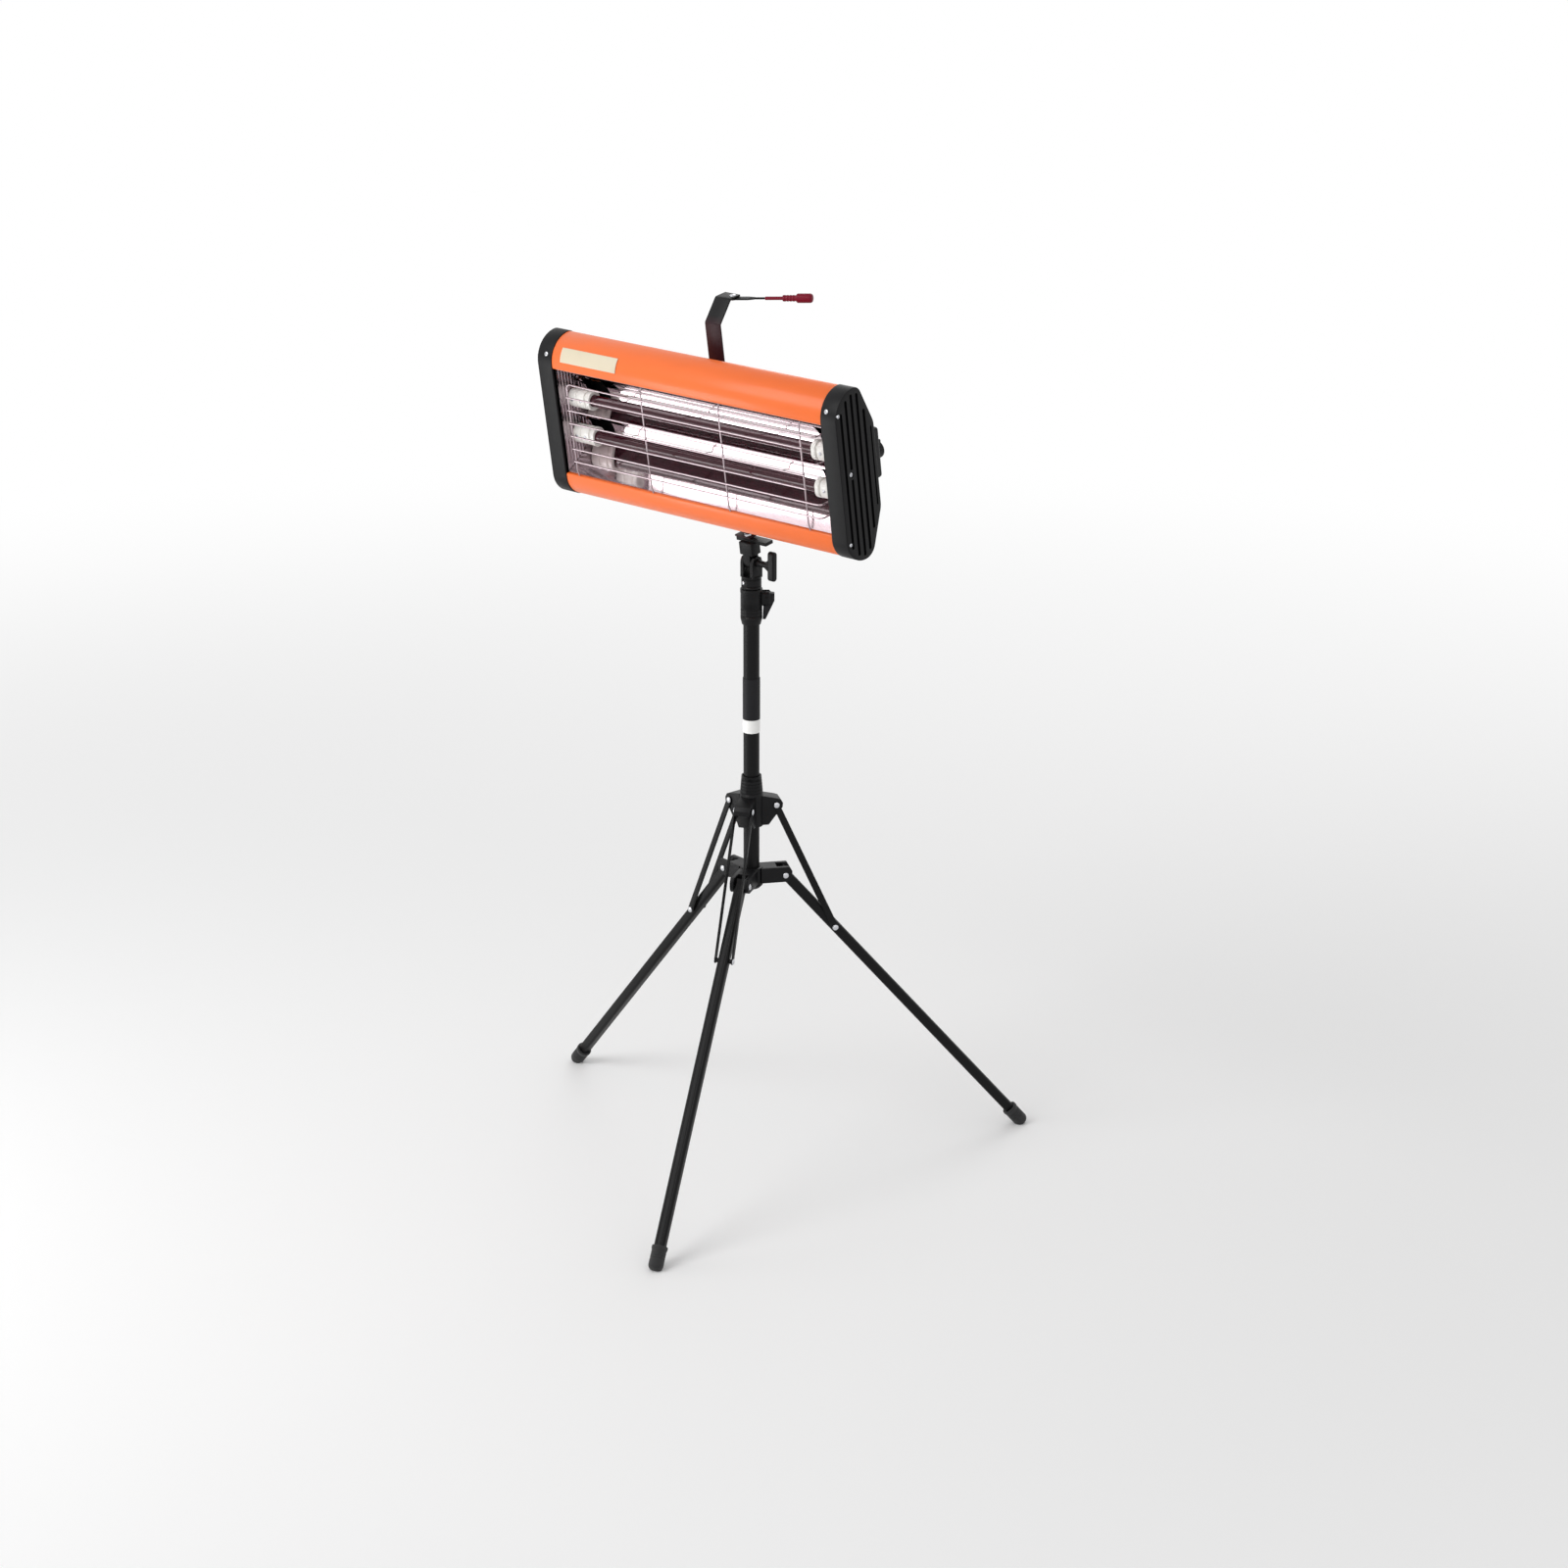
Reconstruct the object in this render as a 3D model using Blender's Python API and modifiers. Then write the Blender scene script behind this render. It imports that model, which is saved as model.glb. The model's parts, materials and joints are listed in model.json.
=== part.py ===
"""An infrared paint curing lamp: a two-tube lamp head on a reverse-folding tripod stand.

Lengths are in metres and +Z is up. The part stands on z = 0, with the middle of its outline at the origin.
"""

import math

import bmesh
import bpy
from mathutils import Matrix, Vector

MM = 0.001
QUARTER = math.pi / 2

# Clearances and tool sizes that all pieces share
GAP = 0.3 * MM
OVERRUN = 4 * MM
WELD = 0.02 * MM
ROUND_STEPS = 24
SMALL_STEPS = 12
ARC_STEPS = 4

# Column of the stand
TUBE_RADIUS = 12.5 * MM
TUBE_WALL = 1.2 * MM
TUBE_LENGTH = 452 * MM
MAST_WALL = 1.2 * MM
MAST_FOOT_CLEARANCE = 6.9 * MM
BAND_WALL = 0.7 * MM
BAND_LENGTH = 21 * MM
BAND_RISE = 252 * MM
SLEEVE_WALL = 0.7 * MM
SLEEVE_LENGTH = 66 * MM

# Legs, as they stand in use
LEG_COUNT = 3
LEG_NAMES = ("front", "right", "left")
FIRST_LEG_AZIMUTH = math.radians(-66.3)
LEG_SPREAD = math.radians(40.6)
LEG_LENGTH = 604 * MM
LEG_WIDTH = 17 * MM
LEG_DEPTH = 16 * MM
LEG_WALL = 1.3 * MM
LEG_CORNER = 4 * MM
LEG_HEAD = 9 * MM
LEG_PIVOT_RADIUS = 52 * MM

# Rubber feet
FOOT_RADIUS = 11.6 * MM
FOOT_LENGTH = 38 * MM
FOOT_NOSE = 9 * MM
FOOT_COLLAR = 0.8 * MM
FOOT_COLLAR_HEIGHT = 5 * MM
FOOT_SOCKET = 24 * MM
FOOT_SOLE_DEPTH = 2 * MM

# Braces
BRACE_LENGTH = 233 * MM
BRACE_ALONG_LEG = 124 * MM
BRACE_WIDTH = 10 * MM
BRACE_THICKNESS = 2 * MM
BRACE_SPACER_RADIUS = 3.5 * MM
COLLAR_PIVOT_RADIUS = 37 * MM

# Rivets
RIVET_RADIUS = 2.6 * MM
RIVET_HEAD_RADIUS = 4.7 * MM
RIVET_HEAD_HEIGHT = 1.8 * MM

# Fixed hub at the foot of the column
HUB_RADIUS = 18 * MM
HUB_BELOW_PIVOT = 20 * MM
HUB_ABOVE_PIVOT = 15 * MM
HUB_FLOOR = 5 * MM
HUB_NOSE_RADIUS = 13 * MM
HUB_CHEEK = 6 * MM
HUB_CHEEK_RADIUS = 10.5 * MM
HUB_SLOT_FLOOR = 13 * MM
HUB_ARM_CORNER = 4 * MM
HUB_ARM_SETBACK = 1 * MM

# Sliding collar that carries the braces
COLLAR_BORE_CLEARANCE = 0.4 * MM
COLLAR_RADIUS = 18.5 * MM
COLLAR_NECK_RADIUS = 15.6 * MM
COLLAR_BELOW_PIVOT = 34 * MM
COLLAR_ABOVE_PIVOT = 13 * MM
COLLAR_NECK_HEIGHT = 35 * MM
COLLAR_EAR_WIDTH = 25 * MM
COLLAR_EAR_RADIUS = 11 * MM
COLLAR_EAR_CREST = 16 * MM
COLLAR_EAR_DROP = 32 * MM
COLLAR_EAR_BELLY = 12 * MM

# Flip-lock clamp at the top of the column
CLAMP_RADIUS = 16.8 * MM
CLAMP_RIM_RADIUS = 17.2 * MM
CLAMP_RIM_HEIGHT = 6 * MM
CLAMP_HEIGHT = 56 * MM
CLAMP_ON_TUBE = 26 * MM
CLAMP_TAPER = 9 * MM
CLAMP_FOOT_RADIUS = 14.6 * MM
CLAMP_AZIMUTH = math.radians(41.8)
CLAMP_EAR_REACH = 30 * MM
CLAMP_EAR_WIDTH = 19 * MM
CLAMP_EAR_HEIGHT = 22 * MM
CLAMP_EAR_BELOW_TOP = 4 * MM
LEVER_SLOT = 11 * MM
LEVER_WIDTH = 10 * MM
LEVER_HUB_RADIUS = 6.5 * MM
LEVER_HAND_LENGTH = 36 * MM
LEVER_HAND_THICKNESS = 4.4 * MM
LEVER_PIN_RADIUS = 1.8 * MM
LEVER_PIN_SET_BACK = 6.2 * MM
LEVER_PIN_BELOW_TOP = 8 * MM

# Swivel adaptor on the mast
ADAPTOR_RADIUS = 15.5 * MM
ADAPTOR_SOCKET_HEIGHT = 19 * MM
ADAPTOR_SOCKET_DEPTH = 14 * MM
ADAPTOR_LIFT = 1.2 * MM
ADAPTOR_CHEEK = 6 * MM
ADAPTOR_CHEEK_SINK = 2 * MM
ADAPTOR_CHEEK_RADIUS = 11 * MM
TILT_PIVOT_RISE = 22 * MM
TILT_AT_REST = math.radians(8.7)

# Tilt knob with its bolt, and the nut on the other side
BOLT_RADIUS = 3 * MM
KNOB_STEM_RADIUS = 6 * MM
KNOB_STEM_LENGTH = 26.4 * MM
KNOB_BAR_HEIGHT = 46 * MM
KNOB_BAR_DEPTH = 10 * MM
KNOB_BAR_THICKNESS = 12 * MM
KNOB_BEVEL = 3 * MM
NUT_RADIUS = 6 * MM
NUT_HEIGHT = 5 * MM

# Tilt bracket, with a tongue between the cheeks and a plate under the strap
TONGUE_WIDTH = 13 * MM
TONGUE_RADIUS = 10.5 * MM
BLOCK_BOTTOM = 13 * MM
BLOCK_TOP = 34 * MM
BLOCK_WIDTH = 26 * MM
BLOCK_DEPTH = 20 * MM
BRACKET_PLATE_THICKNESS = 4 * MM
BRACKET_PLATE_OFFSET = 7 * MM
BRACKET_PLATE_SET_BACK = 5 * MM
BRACKET_PLATE_WIDTH = 60 * MM
BRACKET_PLATE_DEPTH = 16 * MM
BRACKET_BEVEL = 1.5 * MM

# Strap that carries the head and the lever
STRAP_WIDTH = 30 * MM
STRAP_OFFSET = -10 * MM
STRAP_THICKNESS = 3 * MM
STRAP_FOOT = 18 * MM
STRAP_STEM = 14 * MM
STRAP_JOGGLE_RISE = 34 * MM
STRAP_FRONT = -16.7 * MM
STRAP_BEND = 6 * MM
STRAP_ABOVE_CENTRE = 172 * MM
STRAP_LEAN = math.radians(42)
STRAP_LEAN_LENGTH = 42 * MM
STRAP_TAB = 22 * MM
TAB_HOLE_OFFSET = 8 * MM
TAB_HOLE_INSET = 9 * MM
FOOT_SCREW_OFFSET = -3 * MM
FOOT_SCREW_SET_BACK = 2 * MM
STRAP_SCREW_RADIUS = 3 * MM
STRAP_SCREW_HEAD_RADIUS = 5.5 * MM
STRAP_SCREW_HEAD_HEIGHT = 3 * MM

# Swivel lever on top of the strap
ARM_AZIMUTH = math.radians(25)
ARM_PLATE_LENGTH = 34 * MM
ARM_PLATE_WIDTH = 12 * MM
ARM_PLATE_THICKNESS = 2 * MM
ARM_ROD_RADIUS = 1.6 * MM
ARM_ROD_END = 102 * MM
GRIP_START = 50 * MM
GRIP_LENGTH = 74 * MM
GRIP_SLEEVE = 27 * MM
GRIP_SLEEVE_RADIUS = 2.6 * MM
GRIP_NECK = 23 * MM
GRIP_NECK_RADIUS = 4.8 * MM
GRIP_RADIUS = 7 * MM

# Lamp head; its frame starts at the middle of the window, X along the tubes and Y to the back
HEAD_LENGTH = 540 * MM
HEAD_DEPTH = 78 * MM
HEAD_TOP = 131 * MM
HEAD_BOTTOM = 127 * MM
HEAD_SHOULDER = 52 * MM
HEAD_BACK_HIGH = 70 * MM
HEAD_BACK_LOW = 60 * MM
HEAD_ABOVE_TILT_PIVOT = 211 * MM
HEAD_OFFSET = -11 * MM
FRONT_TOP_ROUND = 42 * MM
FRONT_BOTTOM_ROUND = 36 * MM
CREST_ROUND = 15 * MM
KEEL_ROUND = 22 * MM
BACK_ROUND = 30 * MM
SHELL_WALL = 1.6 * MM
WINDOW_HALF = 84 * MM
LIP_DEPTH = 11 * MM
SEAM_HALF = 42 * MM
VENT_COUNT = 11
VENT_PITCH = 30 * MM
VENT_LENGTH = 48 * MM
VENT_WIDTH = 6 * MM

# Reflector and its end plates
REFLECTOR_WALL = 1 * MM
REFLECTOR_STEPS = 8
REFLECTOR_VERTEX = 60 * MM
REFLECTOR_MOUTH = 4 * MM
END_PLATE_WALL = 1 * MM
END_PLATE_DEPTH = 58 * MM

# Infrared tubes, ceramic holders and heating elements
TUBE_SPACING = 58 * MM
GLASS_RADIUS = 9 * MM
GLASS_WALL = 1.4 * MM
GLASS_DEPTH = 35 * MM
GLASS_IN_HOLDER = 12 * MM
HOLDER_LENGTH = 44 * MM
HOLDER_HEIGHT = 30 * MM
HOLDER_DEPTH = 25 * MM
HOLDER_SOCKET = 14 * MM
HOLDER_BEVEL = 3 * MM
ELEMENT_RADIUS = 1.8 * MM

# Wire guard
WIRE_RADIUS = 1.3 * MM
GUARD_ROWS = 7
GUARD_ROW_PITCH = 22 * MM
GUARD_BARS = 4
GUARD_BAR_PITCH = 154 * MM
GUARD_STAND_OFF = 4 * MM
GUARD_BITE = 0.5 * MM
GUARD_ROW_OVERHANG = 3 * MM
GUARD_BEND = 9 * MM
GUARD_ROW_REACH = 27 * MM
GUARD_RETURN = 16 * MM
GUARD_BAR_SET_BACK = 1 * MM

# End caps
CAP_THICKNESS = 30 * MM
CAP_PROUD = 1 * MM
CAP_WALL = 3 * MM
CAP_FACE = 7 * MM
CAP_BEVEL = 2.5 * MM
CAP_GROOVES = 6
CAP_GROOVE_WIDTH = 5.4 * MM
CAP_GROOVE_DEPTH = 3 * MM
CAP_GROOVE_PITCH = 12.2 * MM
CAP_GROOVE_START = 10.5 * MM
CAP_GROOVE_MARGIN = 5 * MM
CAP_SCREW_BEHIND_FRONT = 22 * MM
CAP_SCREW_RISE = 7 * MM
CAP_SCREW_RADIUS = 2 * MM
CAP_SCREW_HEAD_RADIUS = 4 * MM
CAP_SCREW_HEAD_HEIGHT = 2.2 * MM
CAP_SCREW_SHANK = 12 * MM

# Bare plate on the upper shell
BARE_PLATE_LENGTH = 116 * MM
BARE_PLATE_WALL = 0.8 * MM
BARE_PLATE_FROM_END = 18 * MM
BARE_PLATE_LOW_ANGLE = math.radians(12)
BARE_PLATE_HIGH_ANGLE = math.radians(43)

# Terminal block inside, switch box behind
TERMINAL_LENGTH = 50 * MM
TERMINAL_DEPTH = 12 * MM
TERMINAL_HEIGHT = 20 * MM
TERMINAL_OFF_MIDDLE = 60 * MM
TERMINAL_STEP = 4 * MM
BOX_LENGTH = 66 * MM
BOX_DEPTH = 50 * MM
BOX_HEIGHT = 78 * MM
BOX_WALL = 2.6 * MM
BOX_FROM_END = 5 * MM
BOX_BEVEL = 5 * MM
SWITCH_SHAFT_RADIUS = 3 * MM
SWITCH_SKIRT_RADIUS = 18 * MM
SWITCH_SKIRT_HEIGHT = 5 * MM
SWITCH_BODY_RADIUS = 14 * MM
SWITCH_KNOB_HEIGHT = 26 * MM
SWITCH_FIN_WIDTH = 6 * MM
SWITCH_BELOW_BOX_CENTRE = 7 * MM
SWITCH_OFF_BOX_CENTRE = 8 * MM
GLAND_RADIUS = 8 * MM
GLAND_NUT_RADIUS = 10 * MM
GLAND_NUT_HEIGHT = 6 * MM
GLAND_LENGTH = 22 * MM
GLAND_BORE = 4 * MM
GLAND_THREAD = 2.2 * MM

# Finishes: colour, roughness, metallic
BLACK_PAINT = ("1C1C1E", 0.45, 0.0)
BLACK_PLASTIC = ("202022", 0.5, 0.0)
GREY_PLASTIC = ("3A3A3D", 0.5, 0.0)
ORANGE_PAINT = ("F07A32", 0.35, 0.0)
BRIGHT_METAL = ("D8D8DA", 0.15, 1.0)
STEEL = ("B4B4B8", 0.3, 1.0)
RUBBER = ("161616", 0.8, 0.0)
WHITE_PLASTIC = ("F2F2F0", 0.4, 0.0)
CERAMIC = ("EFEDE6", 0.55, 0.0)
RUBY_GLASS = ("4A1525", 0.08, 0.0)
CRIMSON = ("8A1C36", 0.4, 0.0)
CREAM = ("F4E8D2", 0.4, 0.0)


def remove_scene_objects():
    """Start from an empty scene."""
    for obj in list(bpy.data.objects):
        bpy.data.objects.remove(obj, do_unlink=True)


def new_collection(name):
    """A collection in the scene."""
    collection = bpy.data.collections.new(name)
    bpy.context.scene.collection.children.link(collection)
    return collection


remove_scene_objects()
PIECES = new_collection("infrared_curing_lamp")
CUTTERS = new_collection("cutters")


def linear(hex_colour):
    """The linear RGBA of an sRGB hex colour."""
    channels = [int(hex_colour[i : i + 2], 16) / 255 for i in (0, 2, 4)]
    return [c / 12.92 if c <= 0.04045 else ((c + 0.055) / 1.055) ** 2.4 for c in channels] + [1]


def finished(obj, finish):
    """Give the piece its own material and smooth its round faces."""
    colour, roughness, metallic = finish
    material = bpy.data.materials.new(obj.name + "_finish")
    material.use_nodes = True
    shader = material.node_tree.nodes["Principled BSDF"]
    shader.inputs["Base Color"].default_value = linear(colour)
    shader.inputs["Roughness"].default_value = roughness
    shader.inputs["Metallic"].default_value = metallic
    obj.data.materials.clear()
    obj.data.materials.append(material)
    if obj.type == "MESH":
        obj.data.shade_smooth()
        obj.data.set_sharp_from_angle(angle=math.radians(35))
    return obj


def axis_empty(name, parent=None, location=(0, 0, 0), rotation=(0, 0, 0)):
    """An empty that carries pieces, on a joint's axis or on a frame of its own."""
    empty = bpy.data.objects.new(name, None)
    PIECES.objects.link(empty)
    return placed(empty, parent, location, rotation)


def placed(obj, parent, location=(0, 0, 0), rotation=(0, 0, 0)):
    """Put the object on its parent, at this location and turn."""
    obj.parent = parent
    obj.location = location
    obj.rotation_euler = rotation
    return obj


def mesh_object(name, mesh):
    """An object of this mesh among the pieces."""
    obj = bpy.data.objects.new(name, mesh)
    PIECES.objects.link(obj)
    return obj


def hidden(obj):
    """Keep the object as a cutter or a joined shape, out of the part itself."""
    PIECES.objects.unlink(obj)
    CUTTERS.objects.link(obj)
    obj.hide_render = True
    obj.display_type = "WIRE"
    return obj


def combined(obj, other, operation):
    """Cut the other shape from the piece, or join it on."""
    modifier = obj.modifiers.new(other.name, "BOOLEAN")
    modifier.operation = operation
    modifier.solver = "EXACT"
    modifier.object = hidden(other)
    return obj


def cut(obj, other):
    """Cut the other shape out of the piece."""
    return combined(obj, other, "DIFFERENCE")


def join(obj, other):
    """Make the other shape part of the piece."""
    return combined(obj, other, "UNION")


def bevelled(obj, width, segments=2):
    """Round the sharp edges of the piece."""
    modifier = obj.modifiers.new("rounded_edges", "BEVEL")
    modifier.width = width
    modifier.segments = segments
    modifier.limit_method = "ANGLE"
    modifier.angle_limit = math.radians(50)
    return obj


def box(name, size, centre=(0, 0, 0)):
    """A block of this size around its centre."""
    mesh = bpy.data.meshes.new(name)
    bm = bmesh.new()
    bmesh.ops.create_cube(bm, size=1)
    bmesh.ops.scale(bm, vec=size, verts=bm.verts)
    bmesh.ops.translate(bm, vec=centre, verts=bm.verts)
    bm.to_mesh(mesh)
    bm.free()
    return mesh_object(name, mesh)


def rod(name, radius, length, steps=SMALL_STEPS, centre=(0, 0, 0)):
    """A cylinder along Z around its centre."""
    mesh = bpy.data.meshes.new(name)
    bm = bmesh.new()
    bmesh.ops.create_cone(bm, cap_ends=True, segments=steps, radius1=radius, radius2=radius, depth=length)
    bmesh.ops.translate(bm, vec=centre, verts=bm.verts)
    bm.to_mesh(mesh)
    bm.free()
    return mesh_object(name, mesh)


def turned(name, profile, steps=ROUND_STEPS, closed=False):
    """A body turned about Z from (radius, height) points, which run down its outer side."""
    edges = [(i, i + 1) for i in range(len(profile) - 1)]
    if closed:
        edges.append((len(profile) - 1, 0))
    mesh = bpy.data.meshes.new(name)
    mesh.from_pydata([(radius, 0, height) for radius, height in profile], edges, [])
    obj = mesh_object(name, mesh)
    screw = obj.modifiers.new("turning", "SCREW")
    screw.steps = steps
    screw.render_steps = steps
    screw.use_merge_vertices = True
    screw.merge_threshold = WELD
    return obj


def ring(name, outer, inner, low, high, steps=ROUND_STEPS):
    """A tube with open ends, from its low to its high end."""
    return turned(name, [(outer, high), (outer, low), (inner, low), (inner, high)], steps, closed=True)


def plate(name, outlines, thickness):
    """A flat plate in its own XY plane: the first outline is its rim, the others are its holes."""
    curve = bpy.data.curves.new(name, "CURVE")
    curve.dimensions = "2D"
    curve.fill_mode = "BOTH"
    curve.extrude = thickness / 2
    for outline in outlines:
        spline = curve.splines.new("POLY")
        spline.points.add(len(outline) - 1)
        for point, (x, y) in zip(spline.points, outline):
            point.co = (x, y, 0, 1)
        spline.use_cyclic_u = True
    obj = bpy.data.objects.new(name, curve)
    PIECES.objects.link(obj)
    return obj


def wire(name, points, radius):
    """A round wire through these points."""
    curve = bpy.data.curves.new(name, "CURVE")
    curve.dimensions = "3D"
    curve.bevel_depth = radius
    curve.bevel_resolution = 1
    curve.use_fill_caps = True
    spline = curve.splines.new("POLY")
    spline.points.add(len(points) - 1)
    for point, place in zip(spline.points, points):
        point.co = (*place, 1)
    obj = bpy.data.objects.new(name, curve)
    PIECES.objects.link(obj)
    return obj


def sheet(name, path, length, wall):
    """Sheet metal bent along a path in its own XY plane, with its wall to the left of the path."""
    curve = bpy.data.curves.new(name, "CURVE")
    curve.dimensions = "3D"
    curve.extrude = length / 2
    spline = curve.splines.new("POLY")
    spline.points.add(len(path) - 1)
    for point, (x, y) in zip(spline.points, path):
        point.co = (x, y, 0, 1)
    obj = bpy.data.objects.new(name, curve)
    PIECES.objects.link(obj)
    obj = as_mesh(obj)
    solidify = obj.modifiers.new("wall", "SOLIDIFY")
    solidify.thickness = wall
    solidify.offset = 1
    solidify.use_even_offset = True
    return obj


def as_mesh(obj):
    """The same shape as a mesh, with its caps welded, in place of the curve."""
    name = obj.name
    bpy.context.view_layer.update()
    depsgraph = bpy.context.evaluated_depsgraph_get()
    mesh = bpy.data.meshes.new_from_object(obj.evaluated_get(depsgraph))
    bm = bmesh.new()
    bm.from_mesh(mesh)
    bmesh.ops.remove_doubles(bm, verts=bm.verts, dist=WELD)
    bm.to_mesh(mesh)
    bm.free()
    parent, location, rotation = obj.parent, obj.location.copy(), obj.rotation_euler.copy()
    bpy.data.objects.remove(obj, do_unlink=True)
    solid = mesh_object(name, mesh)
    return placed(solid, parent, location, rotation)


def circle(radius, centre=(0, 0), steps=SMALL_STEPS):
    """Points on a circle, as an outline or a hole."""
    turns = [2 * math.pi * i / steps for i in range(steps)]
    return [(centre[0] + radius * math.cos(t), centre[1] + radius * math.sin(t)) for t in turns]


def arc(centre, radius, start, end, steps=ARC_STEPS):
    """Points along an arc, with both its ends."""
    turns = [start + (end - start) * i / steps for i in range(steps + 1)]
    return [(centre[0] + radius * math.cos(t), centre[1] + radius * math.sin(t)) for t in turns]


def slot_outline(half_length, radius, centre=(0, 0)):
    """A slot with round ends, long in Y."""
    x, y = centre
    top = arc((x, y + half_length - radius), radius, 0, math.pi)
    return top + arc((x, y - half_length + radius), radius, math.pi, 2 * math.pi)


def rounded_box_outline(width, height, radius):
    """A rectangle with round corners around the origin."""
    x, y = width / 2 - radius, height / 2 - radius
    corners = ((x, y), (-x, y), (-x, -y), (x, -y))
    points = []
    for i, corner in enumerate(corners):
        points += arc(corner, radius, i * QUARTER, (i + 1) * QUARTER, 2)
    return points


def fillet(before, corner, after, radius, steps=ARC_STEPS):
    """Points of the arc that rounds one corner of an outline."""
    corner = Vector(corner)
    first = (Vector(before) - corner).normalized()
    second = (Vector(after) - corner).normalized()
    half = first.angle(second) / 2
    centre = corner + (first + second).normalized() * radius / math.sin(half)
    start = corner + first * radius / math.tan(half) - centre
    turn = start.angle_signed(corner + second * radius / math.tan(half) - centre)
    spokes = [Matrix.Rotation(-turn * i / steps, 2) @ start for i in range(steps + 1)]
    return [tuple(centre + spoke) for spoke in spokes]


# Heights and radii that follow from the sizes above
LEG_TIP = LEG_LENGTH - FOOT_SOCKET + FOOT_LENGTH
LEG_PIVOT_HEIGHT = (LEG_TIP - FOOT_NOSE) * math.cos(LEG_SPREAD) + FOOT_NOSE - FOOT_SOLE_DEPTH
BRACE_FOOT_RADIUS = LEG_PIVOT_RADIUS + BRACE_ALONG_LEG * math.sin(LEG_SPREAD)
BRACE_LEAN = math.asin((BRACE_FOOT_RADIUS - COLLAR_PIVOT_RADIUS) / BRACE_LENGTH)
BRACE_RISE = BRACE_LENGTH * math.cos(BRACE_LEAN) - BRACE_ALONG_LEG * math.cos(LEG_SPREAD)
COLLAR_PIVOT_HEIGHT = LEG_PIVOT_HEIGHT + BRACE_RISE
HUB_BORE = TUBE_RADIUS + GAP
TUBE_LOW = LEG_PIVOT_HEIGHT - HUB_BELOW_PIVOT + HUB_FLOOR + GAP
TUBE_HIGH = TUBE_LOW + TUBE_LENGTH
CLAMP_LOW = TUBE_HIGH - CLAMP_ON_TUBE
CLAMP_HIGH = CLAMP_LOW + CLAMP_HEIGHT
MAST_RADIUS = TUBE_RADIUS - TUBE_WALL - GAP
ADAPTOR_LOW = CLAMP_HIGH + ADAPTOR_LIFT
ADAPTOR_TOP = ADAPTOR_LOW + ADAPTOR_SOCKET_HEIGHT
MAST_LOW = TUBE_LOW + MAST_FOOT_CLEARANCE
MAST_HIGH = ADAPTOR_LOW + ADAPTOR_SOCKET_DEPTH - GAP
TILT_PIVOT_HEIGHT = ADAPTOR_TOP + TILT_PIVOT_RISE
CHEEK_INNER = TONGUE_WIDTH / 2 + GAP
CHEEK_OUTER = CHEEK_INNER + ADAPTOR_CHEEK
LEVER_PIN_RADIUS_OUT = CLAMP_EAR_REACH - LEVER_PIN_SET_BACK
LEVER_PIN_HEIGHT = CLAMP_HIGH - CLAMP_EAR_BELOW_TOP - LEVER_PIN_BELOW_TOP
STRAP_FOOT_LOW = BLOCK_TOP + BRACKET_PLATE_THICKNESS + GAP
HEAD_FRONT = STRAP_FRONT - GAP - HEAD_DEPTH
END_PLATE_FACE = HEAD_LENGTH / 2 - GAP - END_PLATE_WALL - GAP
HOLDER_FACE = END_PLATE_FACE - HOLDER_LENGTH
REFLECTOR_HALF = WINDOW_HALF - GAP - REFLECTOR_WALL

# Turns that bring a plate's own plane into place
ACROSS_X = (QUARTER, 0, QUARTER)
ACROSS_Y = (QUARTER, 0, 0)
ALONG_X = (0, QUARTER, 0)
ALONG_Y = (-QUARTER, 0, 0)


def rivet(name, grip):
    """A rivet along Z with a domed head on each side of what it grips."""
    half = grip / 2 + GAP
    dome = arc((0, half), RIVET_HEAD_RADIUS, QUARTER, 0, 2)
    scale = RIVET_HEAD_HEIGHT / RIVET_HEAD_RADIUS
    upper = [(r, half + (z - half) * scale) for r, z in dome]
    upper[0] = (0, upper[0][1])
    shank = [(RIVET_RADIUS, half), (RIVET_RADIUS, -half)]
    lower = [(r, -z) for r, z in reversed(upper)]
    return turned(name, upper + shank + lower, SMALL_STEPS)


def screw(name, shank_radius, shank, head_radius, head):
    """A pan-head screw along Z: its shank runs down from z = 0 and its head stands on it."""
    profile = [
        (0, head),
        (head_radius * 0.7, head),
        (head_radius, head / 2),
        (head_radius, 0),
        (shank_radius, 0),
        (shank_radius, -shank),
        (0, -shank),
    ]
    return turned(name, profile, SMALL_STEPS)


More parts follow.
